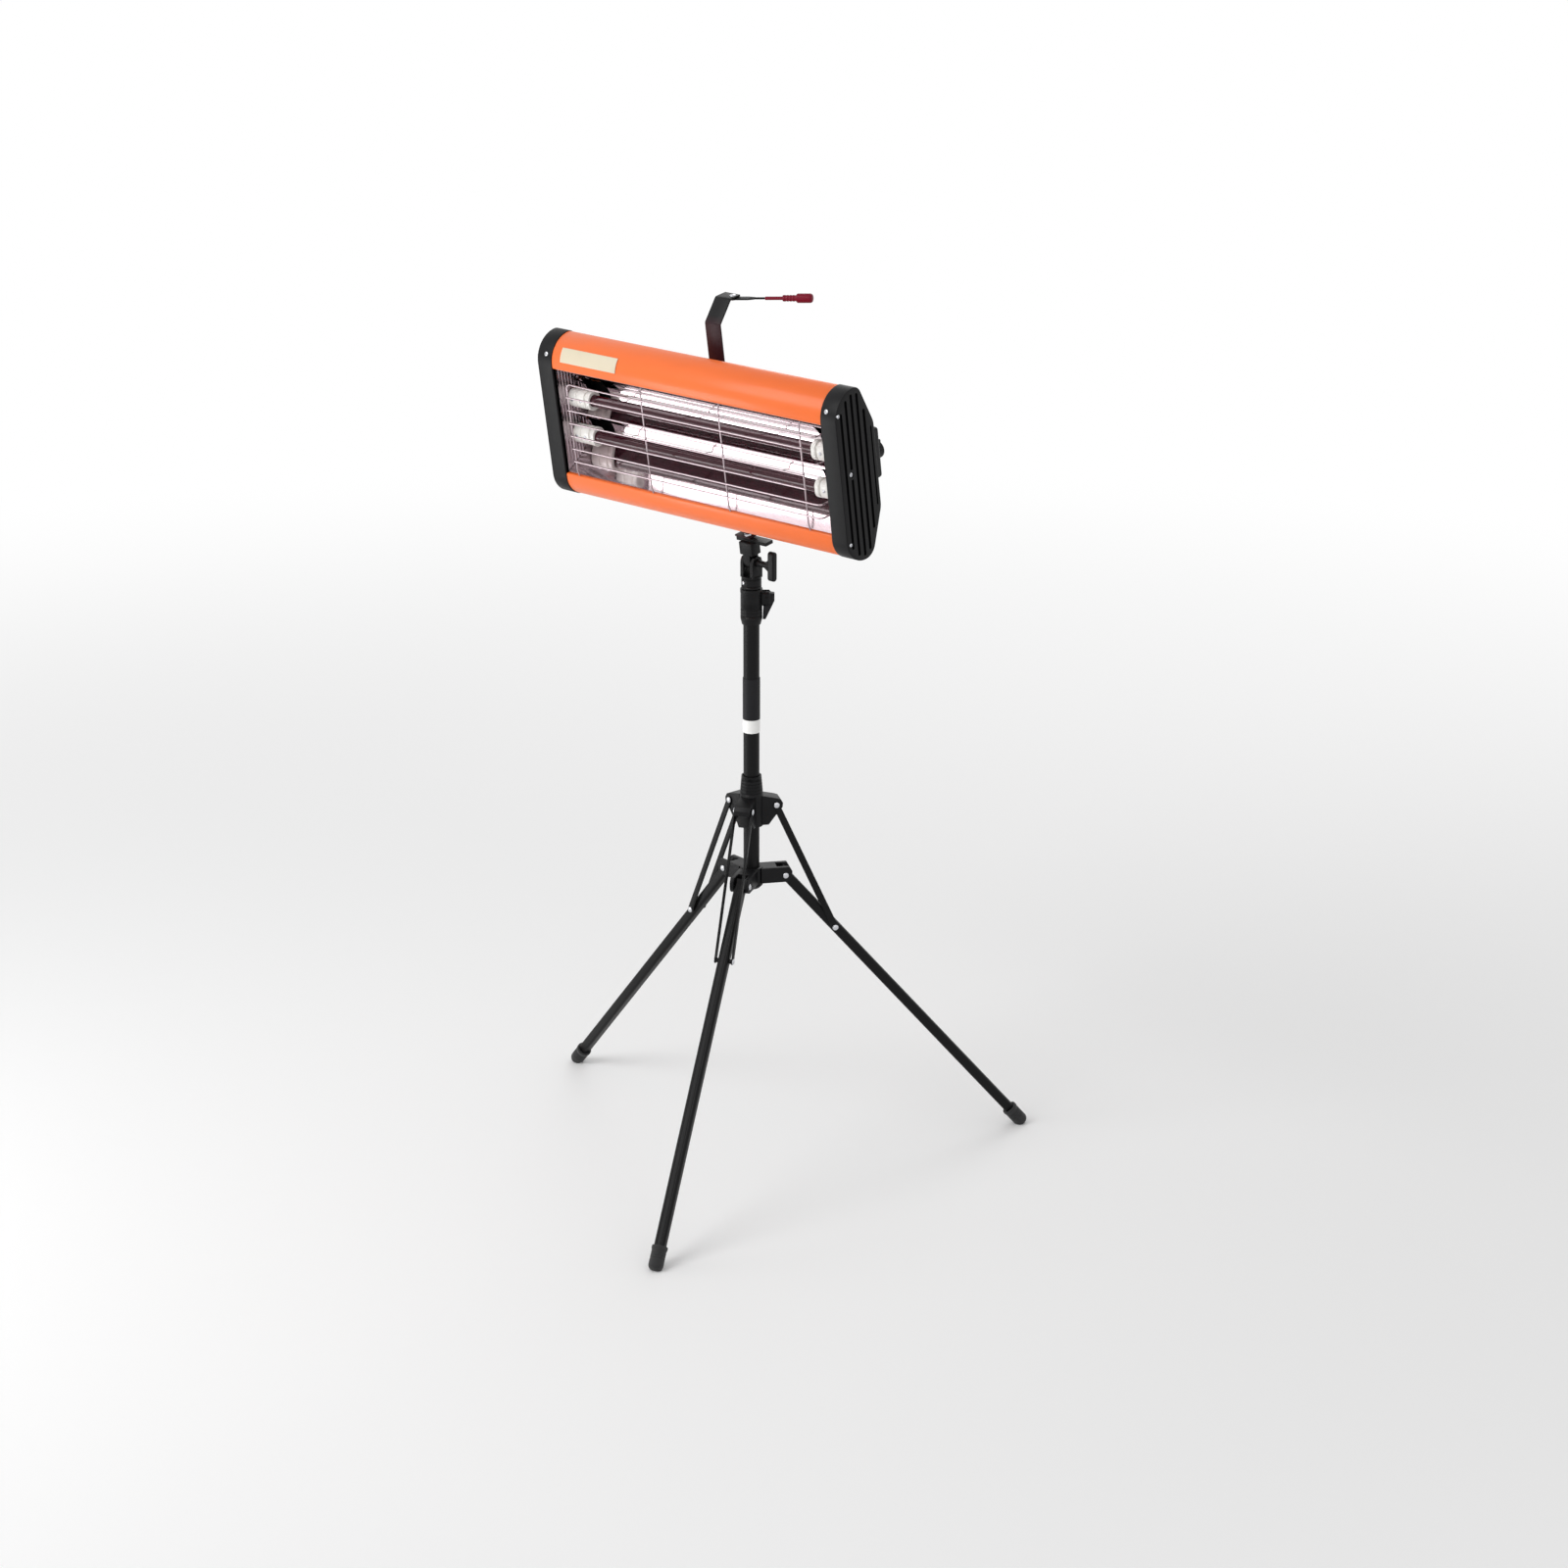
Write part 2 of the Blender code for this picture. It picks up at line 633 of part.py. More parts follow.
def leg_hub(base, bays):
    """The fixed hub: a socket for the column and three forks for the legs."""
    top = HUB_ABOVE_PIVOT
    low = -HUB_BELOW_PIVOT
    floor = low + HUB_FLOOR
    nose = low + HUB_RADIUS - HUB_NOSE_RADIUS
    profile = [
        (0, floor),
        (HUB_BORE, floor),
        (HUB_BORE, top),
        (HUB_RADIUS, top),
        (HUB_RADIUS, nose),
        (HUB_NOSE_RADIUS, low),
        (0, low),
    ]
    hub = placed(turned("leg_hub", profile), base, (0, 0, LEG_PIVOT_HEIGHT))
    root = HUB_BORE + GAP
    tip = LEG_PIVOT_RADIUS + HUB_CHEEK_RADIUS
    outline = arc((LEG_PIVOT_RADIUS, 0), HUB_CHEEK_RADIUS, -QUARTER, 0)
    outline += [(tip, top - 2 * HUB_ARM_CORNER), (tip - HUB_ARM_CORNER, top - HUB_ARM_SETBACK)]
    outline += [(root, top - HUB_ARM_SETBACK), (root, -HUB_CHEEK_RADIUS)]
    width = LEG_WIDTH + 2 * (GAP + HUB_CHEEK)
    for name, bay in bays.items():
        arm = placed(plate("hub_arm_" + name, [outline], width), bay, (0, 0, LEG_PIVOT_HEIGHT), ACROSS_Y)
        join(hub, as_mesh(arm))
    slot_length = HUB_SLOT_FLOOR + HUB_CHEEK_RADIUS + OVERRUN
    slot_height = 2 * (top + OVERRUN)
    slot_middle = LEG_PIVOT_RADIUS - HUB_SLOT_FLOOR + slot_length / 2
    for name, bay in bays.items():
        slot = box("hub_slot_" + name, (slot_length, LEG_WIDTH + 2 * GAP, slot_height))
        cut(hub, placed(slot, bay, (slot_middle, 0, LEG_PIVOT_HEIGHT)))
        hole = rod("hub_hole_" + name, RIVET_RADIUS + GAP, width + OVERRUN)
        cut(hub, placed(hole, bay, (LEG_PIVOT_RADIUS, 0, LEG_PIVOT_HEIGHT), ACROSS_Y))
    finished(hub, BLACK_PLASTIC)


def column(base):
    """The outer tube with its white band and its bare sleeve."""
    tube = ring("column_tube", TUBE_RADIUS, TUBE_RADIUS - TUBE_WALL, TUBE_LOW, TUBE_HIGH)
    finished(placed(tube, base), BLACK_PAINT)
    inner = TUBE_RADIUS + GAP
    band_low = TUBE_LOW + BAND_RISE
    band_high = band_low + BAND_LENGTH
    band = ring("white_band", inner + BAND_WALL, inner, band_low, band_high)
    finished(placed(band, base), WHITE_PLASTIC)
    sleeve_low = band_high + GAP
    sleeve = ring("column_sleeve", inner + SLEEVE_WALL, inner, sleeve_low, sleeve_low + SLEEVE_LENGTH)
    finished(placed(sleeve, base), GREY_PLASTIC)


def leg(name, bay):
    """One leg with its pivot rivet and its rubber foot."""
    hinge = axis_empty(f"leg_{name}_axis", bay, (LEG_PIVOT_RADIUS, 0, LEG_PIVOT_HEIGHT))
    rim = rounded_box_outline(LEG_DEPTH, LEG_WIDTH, LEG_CORNER)
    inside = rounded_box_outline(LEG_DEPTH - 2 * LEG_WALL, LEG_WIDTH - 2 * LEG_WALL, LEG_CORNER - LEG_WALL)
    body = plate("leg_" + name, [rim, inside], LEG_LENGTH + LEG_HEAD)
    turned_out = axis_empty(f"leg_{name}_frame", hinge, rotation=(0, -LEG_SPREAD, 0))
    body = placed(as_mesh(body), turned_out, (0, 0, (LEG_HEAD - LEG_LENGTH) / 2))
    hole = rod(f"leg_{name}_hole", RIVET_RADIUS + GAP, LEG_WIDTH + OVERRUN)
    cut(body, placed(hole, turned_out, rotation=ACROSS_Y))
    finished(body, BLACK_PAINT)
    pin = rivet(f"leg_{name}_rivet", LEG_WIDTH + 2 * (GAP + HUB_CHEEK))
    placed(pin, bay, (LEG_PIVOT_RADIUS, 0, LEG_PIVOT_HEIGHT), ACROSS_Y)
    finished(pin, STEEL)
    rubber_foot(name, bay, turned_out)


def rubber_foot(name, bay, frame):
    """The boot on a leg's end, with a flat sole where it stands."""
    rim = -LEG_LENGTH + FOOT_SOCKET
    nose = arc((FOOT_RADIUS - FOOT_NOSE, -LEG_TIP + FOOT_NOSE), FOOT_NOSE, 0, -QUARTER, 4)
    profile = [
        (0, rim),
        (FOOT_RADIUS + FOOT_COLLAR, rim),
        (FOOT_RADIUS + FOOT_COLLAR, rim - FOOT_COLLAR_HEIGHT),
        (FOOT_RADIUS, rim - FOOT_COLLAR_HEIGHT),
        *nose,
        (0, -LEG_TIP),
    ]
    foot = placed(turned("foot_" + name, profile, 16), frame)
    grown = 2 * GAP
    outline = rounded_box_outline(LEG_DEPTH + grown, LEG_WIDTH + grown, LEG_CORNER + GAP)
    socket = plate(f"foot_{name}_socket", [outline], FOOT_SOCKET + GAP + OVERRUN)
    middle = rim + (OVERRUN - FOOT_SOCKET - GAP) / 2
    cut(foot, placed(as_mesh(socket), frame, (0, 0, middle)))
    depth = FOOT_LENGTH
    reach = LEG_PIVOT_RADIUS + LEG_TIP * math.sin(LEG_SPREAD)
    floor = box(f"foot_{name}_floor", (2 * FOOT_LENGTH, 2 * FOOT_LENGTH, depth), (reach, 0, -depth / 2))
    cut(foot, placed(floor, bay))
    finished(foot, RUBBER)


def brace_collar(base, bays):
    """The sliding collar with its cone neck and three ears; gives the frame it slides in."""
    slide = axis_empty("collar_axis", base, (0, 0, COLLAR_PIVOT_HEIGHT))
    bore = TUBE_RADIUS + GAP + max(BAND_WALL, SLEEVE_WALL) + COLLAR_BORE_CLEARANCE
    neck = COLLAR_ABOVE_PIVOT + COLLAR_NECK_HEIGHT
    profile = [
        (COLLAR_NECK_RADIUS, neck),
        (COLLAR_RADIUS, COLLAR_ABOVE_PIVOT),
        (COLLAR_RADIUS, -COLLAR_BELOW_PIVOT),
        (bore, -COLLAR_BELOW_PIVOT),
        (bore, neck),
    ]
    collar = placed(turned("brace_collar", profile, closed=True), slide)
    root = bore + GAP
    outline = arc((COLLAR_PIVOT_RADIUS, 0), COLLAR_EAR_RADIUS, -QUARTER * 0.7, QUARTER)
    outline += [(root, COLLAR_EAR_CREST), (root, -COLLAR_EAR_DROP)]
    outline.append((COLLAR_PIVOT_RADIUS - COLLAR_EAR_BELLY, -COLLAR_EAR_DROP))
    for name, bay in bays.items():
        place = (0, 0, COLLAR_PIVOT_HEIGHT)
        ear = placed(plate("collar_ear_" + name, [outline], COLLAR_EAR_WIDTH), bay, place, ACROSS_Y)
        join(collar, as_mesh(ear))
    for name, bay in bays.items():
        hole = rod("collar_hole_" + name, RIVET_RADIUS + GAP, COLLAR_EAR_WIDTH + OVERRUN)
        cut(collar, placed(hole, bay, (COLLAR_PIVOT_RADIUS, 0, COLLAR_PIVOT_HEIGHT), ACROSS_Y))
    finished(collar, BLACK_PLASTIC)
    return slide


def brace(name, azimuth, slide):
    """A pair of flat strips from a collar ear to both sides of a leg, with their rivet."""
    bay = axis_empty(f"collar_bay_{name}", slide, rotation=(0, 0, azimuth))
    hinge = axis_empty(f"brace_{name}_axis", bay, (COLLAR_PIVOT_RADIUS, 0, 0))
    frame = axis_empty(f"brace_{name}_frame", hinge, rotation=(0, -BRACE_LEAN, 0))
    radius = BRACE_WIDTH / 2
    rim = slot_outline(BRACE_LENGTH / 2 + radius, radius, (0, -BRACE_LENGTH / 2))
    hole = circle(RIVET_RADIUS + GAP)
    inner_face = COLLAR_EAR_WIDTH / 2 + GAP
    spacer = inner_face - LEG_WIDTH / 2 - GAP
    for side, way in (("a", 1), ("b", -1)):
        strip = plate(f"brace_{name}_{side}", [rim, hole], BRACE_THICKNESS)
        middle = way * (inner_face + BRACE_THICKNESS / 2)
        strip = placed(as_mesh(strip), frame, (0, middle, 0), ACROSS_Y)
        seat = way * (inner_face + BRACE_THICKNESS - GAP)
        turn = (-way * QUARTER, 0, 0)
        stud_name = f"brace_{name}_{side}_stud"
        shank = BRACE_THICKNESS - GAP + spacer
        stud = screw(stud_name, BRACE_SPACER_RADIUS, shank, RIVET_HEAD_RADIUS, RIVET_HEAD_HEIGHT)
        join(strip, placed(stud, frame, (0, seat, -BRACE_LENGTH), turn))
        finished(strip, BLACK_PAINT)
    pin = rivet(f"brace_{name}_rivet", 2 * (inner_face + BRACE_THICKNESS))
    finished(placed(pin, hinge, rotation=ACROSS_Y), STEEL)


def column_clamp(base):
    """The flip-lock clamp with the lever that hangs in its ear."""
    top = CLAMP_HIGH
    step = TUBE_HIGH + GAP
    profile = [
        (CLAMP_RIM_RADIUS, top),
        (CLAMP_RIM_RADIUS, top - CLAMP_RIM_HEIGHT),
        (CLAMP_RADIUS, top - CLAMP_RIM_HEIGHT),
        (CLAMP_RADIUS, CLAMP_LOW + CLAMP_TAPER),
        (CLAMP_FOOT_RADIUS, CLAMP_LOW),
        (TUBE_RADIUS + GAP, CLAMP_LOW),
        (TUBE_RADIUS + GAP, step),
        (MAST_RADIUS + GAP, step),
        (MAST_RADIUS + GAP, top),
    ]
    clamp = placed(turned("column_clamp", profile, closed=True), base)
    bay = axis_empty("clamp_bay", base, rotation=(0, 0, CLAMP_AZIMUTH))
    root = TUBE_RADIUS + 2 * GAP
    ear_middle = CLAMP_HIGH - CLAMP_EAR_BELOW_TOP - CLAMP_EAR_HEIGHT / 2
    ear_size = (CLAMP_EAR_REACH - root, CLAMP_EAR_WIDTH, CLAMP_EAR_HEIGHT)
    ear = bevelled(box("clamp_ear", ear_size), KNOB_BEVEL, 1)
    join(clamp, placed(ear, bay, ((CLAMP_EAR_REACH + root) / 2, 0, ear_middle)))
    floor = LEVER_PIN_RADIUS_OUT - LEVER_HUB_RADIUS - GAP
    slot_length = CLAMP_EAR_REACH + OVERRUN - floor
    slot = box("clamp_slot", (slot_length, LEVER_SLOT, CLAMP_EAR_HEIGHT + 2 * OVERRUN))
    cut(clamp, placed(slot, bay, (floor + slot_length / 2, 0, ear_middle - OVERRUN / 2)))
    pin_place = (LEVER_PIN_RADIUS_OUT, 0, LEVER_PIN_HEIGHT)
    hole = rod("clamp_hole", LEVER_PIN_RADIUS + GAP, CLAMP_EAR_WIDTH + OVERRUN)
    cut(clamp, placed(hole, bay, pin_place, ACROSS_Y))
    finished(clamp, BLACK_PLASTIC)

    hinge = axis_empty("clamp_lever_axis", bay, pin_place)
    inner = -LEVER_HUB_RADIUS
    outer = inner + LEVER_HAND_THICKNESS
    thick = LEVER_HUB_RADIUS * 2 - KNOB_BEVEL / 2
    outline = arc((0, 0), LEVER_HUB_RADIUS, QUARTER, 2.4 * QUARTER)
    outline += [(inner, -LEVER_HAND_LENGTH), (outer, -LEVER_HAND_LENGTH)]
    outline += [(thick, -LEVER_HUB_RADIUS), (thick, LEVER_HUB_RADIUS - KNOB_BEVEL / 2)]
    lever = plate("clamp_lever", [outline, circle(LEVER_PIN_RADIUS + GAP)], LEVER_WIDTH)
    finished(placed(as_mesh(lever), hinge, rotation=ACROSS_Y), GREY_PLASTIC)
    pin = rod("clamp_pin", LEVER_PIN_RADIUS, CLAMP_EAR_WIDTH + GAP)
    finished(placed(pin, bay, pin_place, ACROSS_Y), STEEL)


def mast(base):
    """The inner tube that slides in the column."""
    frame = axis_empty("mast_axis", base)
    tube = ring("inner_mast", MAST_RADIUS, MAST_RADIUS - MAST_WALL, MAST_LOW, MAST_HIGH)
    finished(placed(tube, frame), BLACK_PAINT)
    return frame


def swivel_adaptor(mast_frame):
    """The adaptor that turns on the mast, with the fork for the tilt bracket; gives its frame."""
    frame = axis_empty("pan_axis", mast_frame)
    bore = MAST_RADIUS + GAP
    profile = [
        (0, ADAPTOR_TOP),
        (ADAPTOR_RADIUS, ADAPTOR_TOP),
        (ADAPTOR_RADIUS, ADAPTOR_LOW),
        (bore, ADAPTOR_LOW),
        (bore, ADAPTOR_LOW + ADAPTOR_SOCKET_DEPTH),
        (0, ADAPTOR_LOW + ADAPTOR_SOCKET_DEPTH),
    ]
    adaptor = placed(turned("swivel_adaptor", profile), frame)
    foot = ADAPTOR_TOP - ADAPTOR_CHEEK_SINK - TILT_PIVOT_HEIGHT
    outline = arc((0, 0), ADAPTOR_CHEEK_RADIUS, 0, 2 * QUARTER)
    outline += [(-ADAPTOR_CHEEK_RADIUS, foot), (ADAPTOR_CHEEK_RADIUS, foot)]
    for side, way in (("right", 1), ("left", -1)):
        cheek = plate("adaptor_cheek_" + side, [outline], ADAPTOR_CHEEK)
        place = (way * (CHEEK_INNER + CHEEK_OUTER) / 2, 0, TILT_PIVOT_HEIGHT)
        join(adaptor, as_mesh(placed(cheek, frame, place, ACROSS_X)))
    hole = rod("adaptor_hole", BOLT_RADIUS + GAP, 2 * CHEEK_OUTER + OVERRUN)
    cut(adaptor, placed(hole, frame, (0, 0, TILT_PIVOT_HEIGHT), ALONG_X))
    finished(adaptor, BLACK_PLASTIC)
    return frame


def tilt_knob(frame):
    """The T-shaped knob with its bolt, and the nut at the bolt's other end."""
    seat = CHEEK_OUTER + GAP
    hinge = axis_empty("tilt_knob_axis", frame, (seat, 0, TILT_PIVOT_HEIGHT), ALONG_X)
    bolt_end = -seat - CHEEK_OUTER - 2 * GAP - NUT_HEIGHT
    profile = [
        (0, KNOB_STEM_LENGTH),
        (KNOB_STEM_RADIUS, KNOB_STEM_LENGTH),
        (KNOB_STEM_RADIUS, 0),
        (BOLT_RADIUS, 0),
        (BOLT_RADIUS, bolt_end),
        (0, bolt_end),
    ]
    knob = placed(turned("tilt_knob", profile, SMALL_STEPS), hinge)
    bar = bevelled(box("tilt_knob_bar", (KNOB_BAR_HEIGHT, KNOB_BAR_DEPTH, KNOB_BAR_THICKNESS)), KNOB_BEVEL)
    sink = KNOB_BEVEL
    join(knob, placed(bar, hinge, (0, 0, KNOB_STEM_LENGTH - sink + KNOB_BAR_THICKNESS / 2)))
    finished(knob, BLACK_PLASTIC)
    nut = rod("tilt_nut", NUT_RADIUS, NUT_HEIGHT, 6)
    place = (-seat - NUT_HEIGHT / 2, 0, TILT_PIVOT_HEIGHT)
    hole = rod("tilt_nut_hole", BOLT_RADIUS + GAP, NUT_HEIGHT + OVERRUN)
    placed(nut, frame, place, ALONG_X)
    cut(nut, placed(hole, frame, place, ALONG_X))
    finished(nut, STEEL)


def tilt_bracket(tilt):
    """The tongue in the fork, its block and the plate that the strap stands on."""
    size = (BLOCK_WIDTH, BLOCK_DEPTH, BLOCK_TOP - BLOCK_BOTTOM)
    block = box("tilt_bracket", size, (0, 0, (BLOCK_TOP + BLOCK_BOTTOM) / 2))
    bracket = placed(bevelled(block, BRACKET_BEVEL), tilt)
    root = BLOCK_BOTTOM + BRACKET_BEVEL * 2
    outline = arc((0, 0), TONGUE_RADIUS, 2 * QUARTER, 4 * QUARTER, 2 * ARC_STEPS)
    outline += [(TONGUE_RADIUS - BRACKET_BEVEL, root), (BRACKET_BEVEL - TONGUE_RADIUS, root)]
    tongue = plate("bracket_tongue", [outline], TONGUE_WIDTH)
    join(bracket, as_mesh(placed(tongue, tilt, rotation=ACROSS_X)))
    top_size = (BRACKET_PLATE_WIDTH, BRACKET_PLATE_DEPTH, BRACKET_PLATE_THICKNESS + BRACKET_BEVEL)
    top_middle = BLOCK_TOP - BRACKET_BEVEL + top_size[2] / 2
    top_place = (BRACKET_PLATE_OFFSET, BRACKET_PLATE_SET_BACK, top_middle)
    join(bracket, placed(box("bracket_plate", top_size), tilt, top_place))
    hole = rod("bracket_hole", BOLT_RADIUS + GAP, TONGUE_WIDTH + OVERRUN)
    cut(bracket, placed(hole, tilt, rotation=ALONG_X))
    screw_hole = rod("bracket_screw_hole", STRAP_SCREW_RADIUS + GAP, BLOCK_TOP)
    screw_place = (FOOT_SCREW_OFFSET, FOOT_SCREW_SET_BACK, BLOCK_TOP + BLOCK_BOTTOM / 2)
    cut(bracket, placed(screw_hole, tilt, screw_place))
    finished(bracket, BLACK_PLASTIC)


def strap_path():
    """The strap's middle line, from its top tab down to its foot."""
    low = STRAP_FOOT_LOW + STRAP_THICKNESS
    back = BRACKET_PLATE_SET_BACK + STRAP_FOOT / 2
    knee = HEAD_ABOVE_TILT_PIVOT + STRAP_ABOVE_CENTRE
    lean_back = STRAP_FRONT + STRAP_LEAN_LENGTH * math.sin(STRAP_LEAN)
    top = knee + STRAP_LEAN_LENGTH * math.cos(STRAP_LEAN)
    corners = [
        (lean_back + STRAP_TAB, top),
        (lean_back, top),
        (STRAP_FRONT, knee),
        (STRAP_FRONT, low + STRAP_STEM + STRAP_JOGGLE_RISE),
        (back, low + STRAP_STEM),
        (back, low),
        (back - STRAP_FOOT, low),
    ]
    path = [corners[0]]
    for before, corner, after in zip(corners, corners[1:], corners[2:]):
        path += fillet(before, corner, after, STRAP_BEND, 3)
    return path + [corners[-1]]


def strap(tilt):
    """The steel strap behind the head, with its foot screw."""
    path = strap_path()
    bent = sheet("strap", path, STRAP_WIDTH, STRAP_THICKNESS)
    placed(bent, tilt, (STRAP_OFFSET, 0, 0), ACROSS_X)
    foot_hole = rod("strap_foot_hole", STRAP_SCREW_RADIUS + GAP, STRAP_THICKNESS + OVERRUN)
    foot_top = STRAP_FOOT_LOW + STRAP_THICKNESS
    cut(bent, placed(foot_hole, tilt, (FOOT_SCREW_OFFSET, FOOT_SCREW_SET_BACK, foot_top)))
    tab_end, tab_top = path[0]
    pivot = (STRAP_OFFSET + TAB_HOLE_OFFSET, tab_end - TAB_HOLE_INSET, tab_top)
    tab_hole = rod("strap_tab_hole", RIVET_RADIUS + GAP, 2 * STRAP_THICKNESS + OVERRUN)
    cut(bent, placed(tab_hole, tilt, pivot))
    finished(bent, BLACK_PAINT)
    foot_screw = screw(
        "strap_foot_screw",
        STRAP_SCREW_RADIUS,
        BLOCK_BOTTOM,
        STRAP_SCREW_HEAD_RADIUS,
        STRAP_SCREW_HEAD_HEIGHT,
    )
    placed(foot_screw, tilt, (FOOT_SCREW_OFFSET, FOOT_SCREW_SET_BACK, foot_top + GAP))
    finished(foot_screw, STEEL)
    return pivot


def lever_arm(tilt, pivot):
    """The arm that swivels under the strap's tab, with its grip and its rivet."""
    x, y, z = pivot
    low = z - STRAP_THICKNESS - GAP - ARM_PLATE_THICKNESS
    hinge = axis_empty("arm_axis", tilt, (x, y, low), (0, 0, ARM_AZIMUTH))
    half = ARM_PLATE_WIDTH / 2
    nose = arc((0, 0), half, QUARTER, 3 * QUARTER, 2 * ARC_STEPS)
    tail = ARM_ROD_RADIUS * 2
    outline = nose + [(ARM_PLATE_LENGTH - half, -half), (ARM_PLATE_LENGTH, -tail)]
    outline += [(ARM_PLATE_LENGTH, tail), (ARM_PLATE_LENGTH - half, half)]
    blade = plate("lever_arm", [outline, circle(RIVET_RADIUS + GAP)], ARM_PLATE_THICKNESS)
    middle = ARM_PLATE_THICKNESS / 2
    blade = placed(as_mesh(blade), hinge, (0, 0, middle))
    rod_start = ARM_PLATE_LENGTH - half
    stem = rod("arm_rod", ARM_ROD_RADIUS, ARM_ROD_END - rod_start)
    join(blade, placed(stem, hinge, ((ARM_ROD_END + rod_start) / 2, 0, middle), ALONG_X))
    finished(blade, BLACK_PAINT)

    end = GRIP_START + GRIP_LENGTH
    neck = GRIP_START + GRIP_SLEEVE
    step = neck + GRIP_NECK
    round_end = GRIP_RADIUS * 0.6
    tip = arc((GRIP_RADIUS - round_end, end - round_end), round_end, QUARTER, 0, 3)
    profile = [
        (0, end),
        *tip,
        (GRIP_RADIUS, step),
        (GRIP_NECK_RADIUS, step - GRIP_NECK_RADIUS),
        (GRIP_NECK_RADIUS, neck),
        (GRIP_SLEEVE_RADIUS, neck),
        (GRIP_SLEEVE_RADIUS, GRIP_START),
        (0, GRIP_START),
    ]
    grip = placed(turned("lever_grip", profile, 16), hinge, (0, 0, middle), ALONG_X)
    bore_length = ARM_ROD_END + GAP - GRIP_START + OVERRUN
    bore = rod("grip_bore", ARM_ROD_RADIUS + GAP, bore_length)
    cut(grip, placed(bore, hinge, (GRIP_START - OVERRUN + bore_length / 2, 0, middle), ALONG_X))
    finished(grip, CRIMSON)
    pin = rivet("lever_rivet", z - low)
    placed(pin, tilt, (x, y, (low + z) / 2))
    finished(pin, STEEL)


def section_corners(inset):
    """Corners and radii of the head's section, as (back, up, radius), drawn in by this much."""
    corners = [
        (0, HEAD_TOP, FRONT_TOP_ROUND),
        (HEAD_SHOULDER, HEAD_TOP, CREST_ROUND),
        (HEAD_DEPTH, HEAD_BACK_HIGH, BACK_ROUND),
        (HEAD_DEPTH, -HEAD_BACK_LOW, BACK_ROUND),
        (HEAD_SHOULDER, -HEAD_BOTTOM, KEEL_ROUND),
        (0, -HEAD_BOTTOM, FRONT_BOTTOM_ROUND),
    ]
    drawn_in = []
    for i, (y, z, radius) in enumerate(corners):
        here = Vector((y, z))
        before = (here - Vector(corners[i - 1][:2])).normalized()
        after = (Vector(corners[(i + 1) % len(corners)][:2]) - here).normalized()
        inward = Vector((before.y, -before.x)) + Vector((after.y, -after.x))
        place = here + inward * inset / (1 + before.dot(after))
        drawn_in.append((place.x, place.y, radius - inset))
    return drawn_in


def section_arcs(inset):
    """The rounded corners of the head's section, front top first, each as its points."""
    corners = section_corners(inset)
    count = len(corners)
    arcs = []
    for i, (y, z, radius) in enumerate(corners):
        before = corners[i - 1][:2]
        after = corners[(i + 1) % count][:2]
        arcs.append(fillet(before, (y, z), after, radius))
    return arcs


def section_outline(inset):
    """The closed outline of the head's section."""
    return [point for part in section_arcs(inset) for point in part]


def shells(head):
    """The upper and the lower shell, and the vented back panel between them."""
    arcs = section_arcs(0)
    over = [point for part in reversed(arcs[:3]) for point in reversed(part)]
    under = [point for part in reversed(arcs[3:]) for point in reversed(part)]
    upper_path = [(HEAD_DEPTH, SEAM_HALF)] + over
    upper_path += [(0, WINDOW_HALF), (LIP_DEPTH, WINDOW_HALF)]
    lower_path = [(LIP_DEPTH, -WINDOW_HALF), (0, -WINDOW_HALF)] + under
    lower_path += [(HEAD_DEPTH, -SEAM_HALF)]
    for name, path in (("upper_shell", upper_path), ("lower_shell", lower_path)):
        shell = placed(sheet(name, path, HEAD_LENGTH, SHELL_WALL), head, rotation=ACROSS_X)
        finished(shell, ORANGE_PAINT)
    half = SEAM_HALF - GAP
    end = HEAD_LENGTH / 2
    outlines = [[(-end, -half), (end, -half), (end, half), (-end, half)]]
    first = -VENT_PITCH * (VENT_COUNT - 1) / 2
    for i in range(VENT_COUNT):
        outlines.append(slot_outline(VENT_LENGTH / 2, VENT_WIDTH / 2, (first + i * VENT_PITCH, 0)))
    panel = as_mesh(plate("back_panel", outlines, SHELL_WALL))
    finished(placed(panel, head, (0, HEAD_DEPTH - SHELL_WALL / 2, 0), ACROSS_Y), BLACK_PAINT)


def reflector(head):
    """The polished double trough behind the tubes, with a plate at each end."""
    centre = TUBE_SPACING / 2
    spread = REFLECTOR_HALF - centre
    curve = (REFLECTOR_VERTEX - REFLECTOR_MOUTH) / spread**2
    upper = []
    for i in range(REFLECTOR_STEPS + 1):
        height = REFLECTOR_HALF * (1 - i / REFLECTOR_STEPS)
        upper.append((REFLECTOR_VERTEX - curve * (height - centre) ** 2, height))
    path = upper + [(y, -z) for y, z in reversed(upper[:-1])]
    trough = sheet("reflector", path, 2 * (END_PLATE_FACE - GAP), REFLECTOR_WALL)
    finished(placed(trough, head, rotation=ACROSS_X), BRIGHT_METAL)
    outline = rounded_box_outline(END_PLATE_DEPTH, 2 * REFLECTOR_HALF, HOLDER_BEVEL)
    for side, way in (("left", -1), ("right", 1)):
        end = plate("end_reflector_" + side, [outline], END_PLATE_WALL)
        middle = way * (END_PLATE_FACE + END_PLATE_WALL / 2)
        place = (middle, REFLECTOR_MOUTH + END_PLATE_DEPTH / 2, 0)
        finished(placed(as_mesh(end), head, place, ACROSS_X), BRIGHT_METAL)


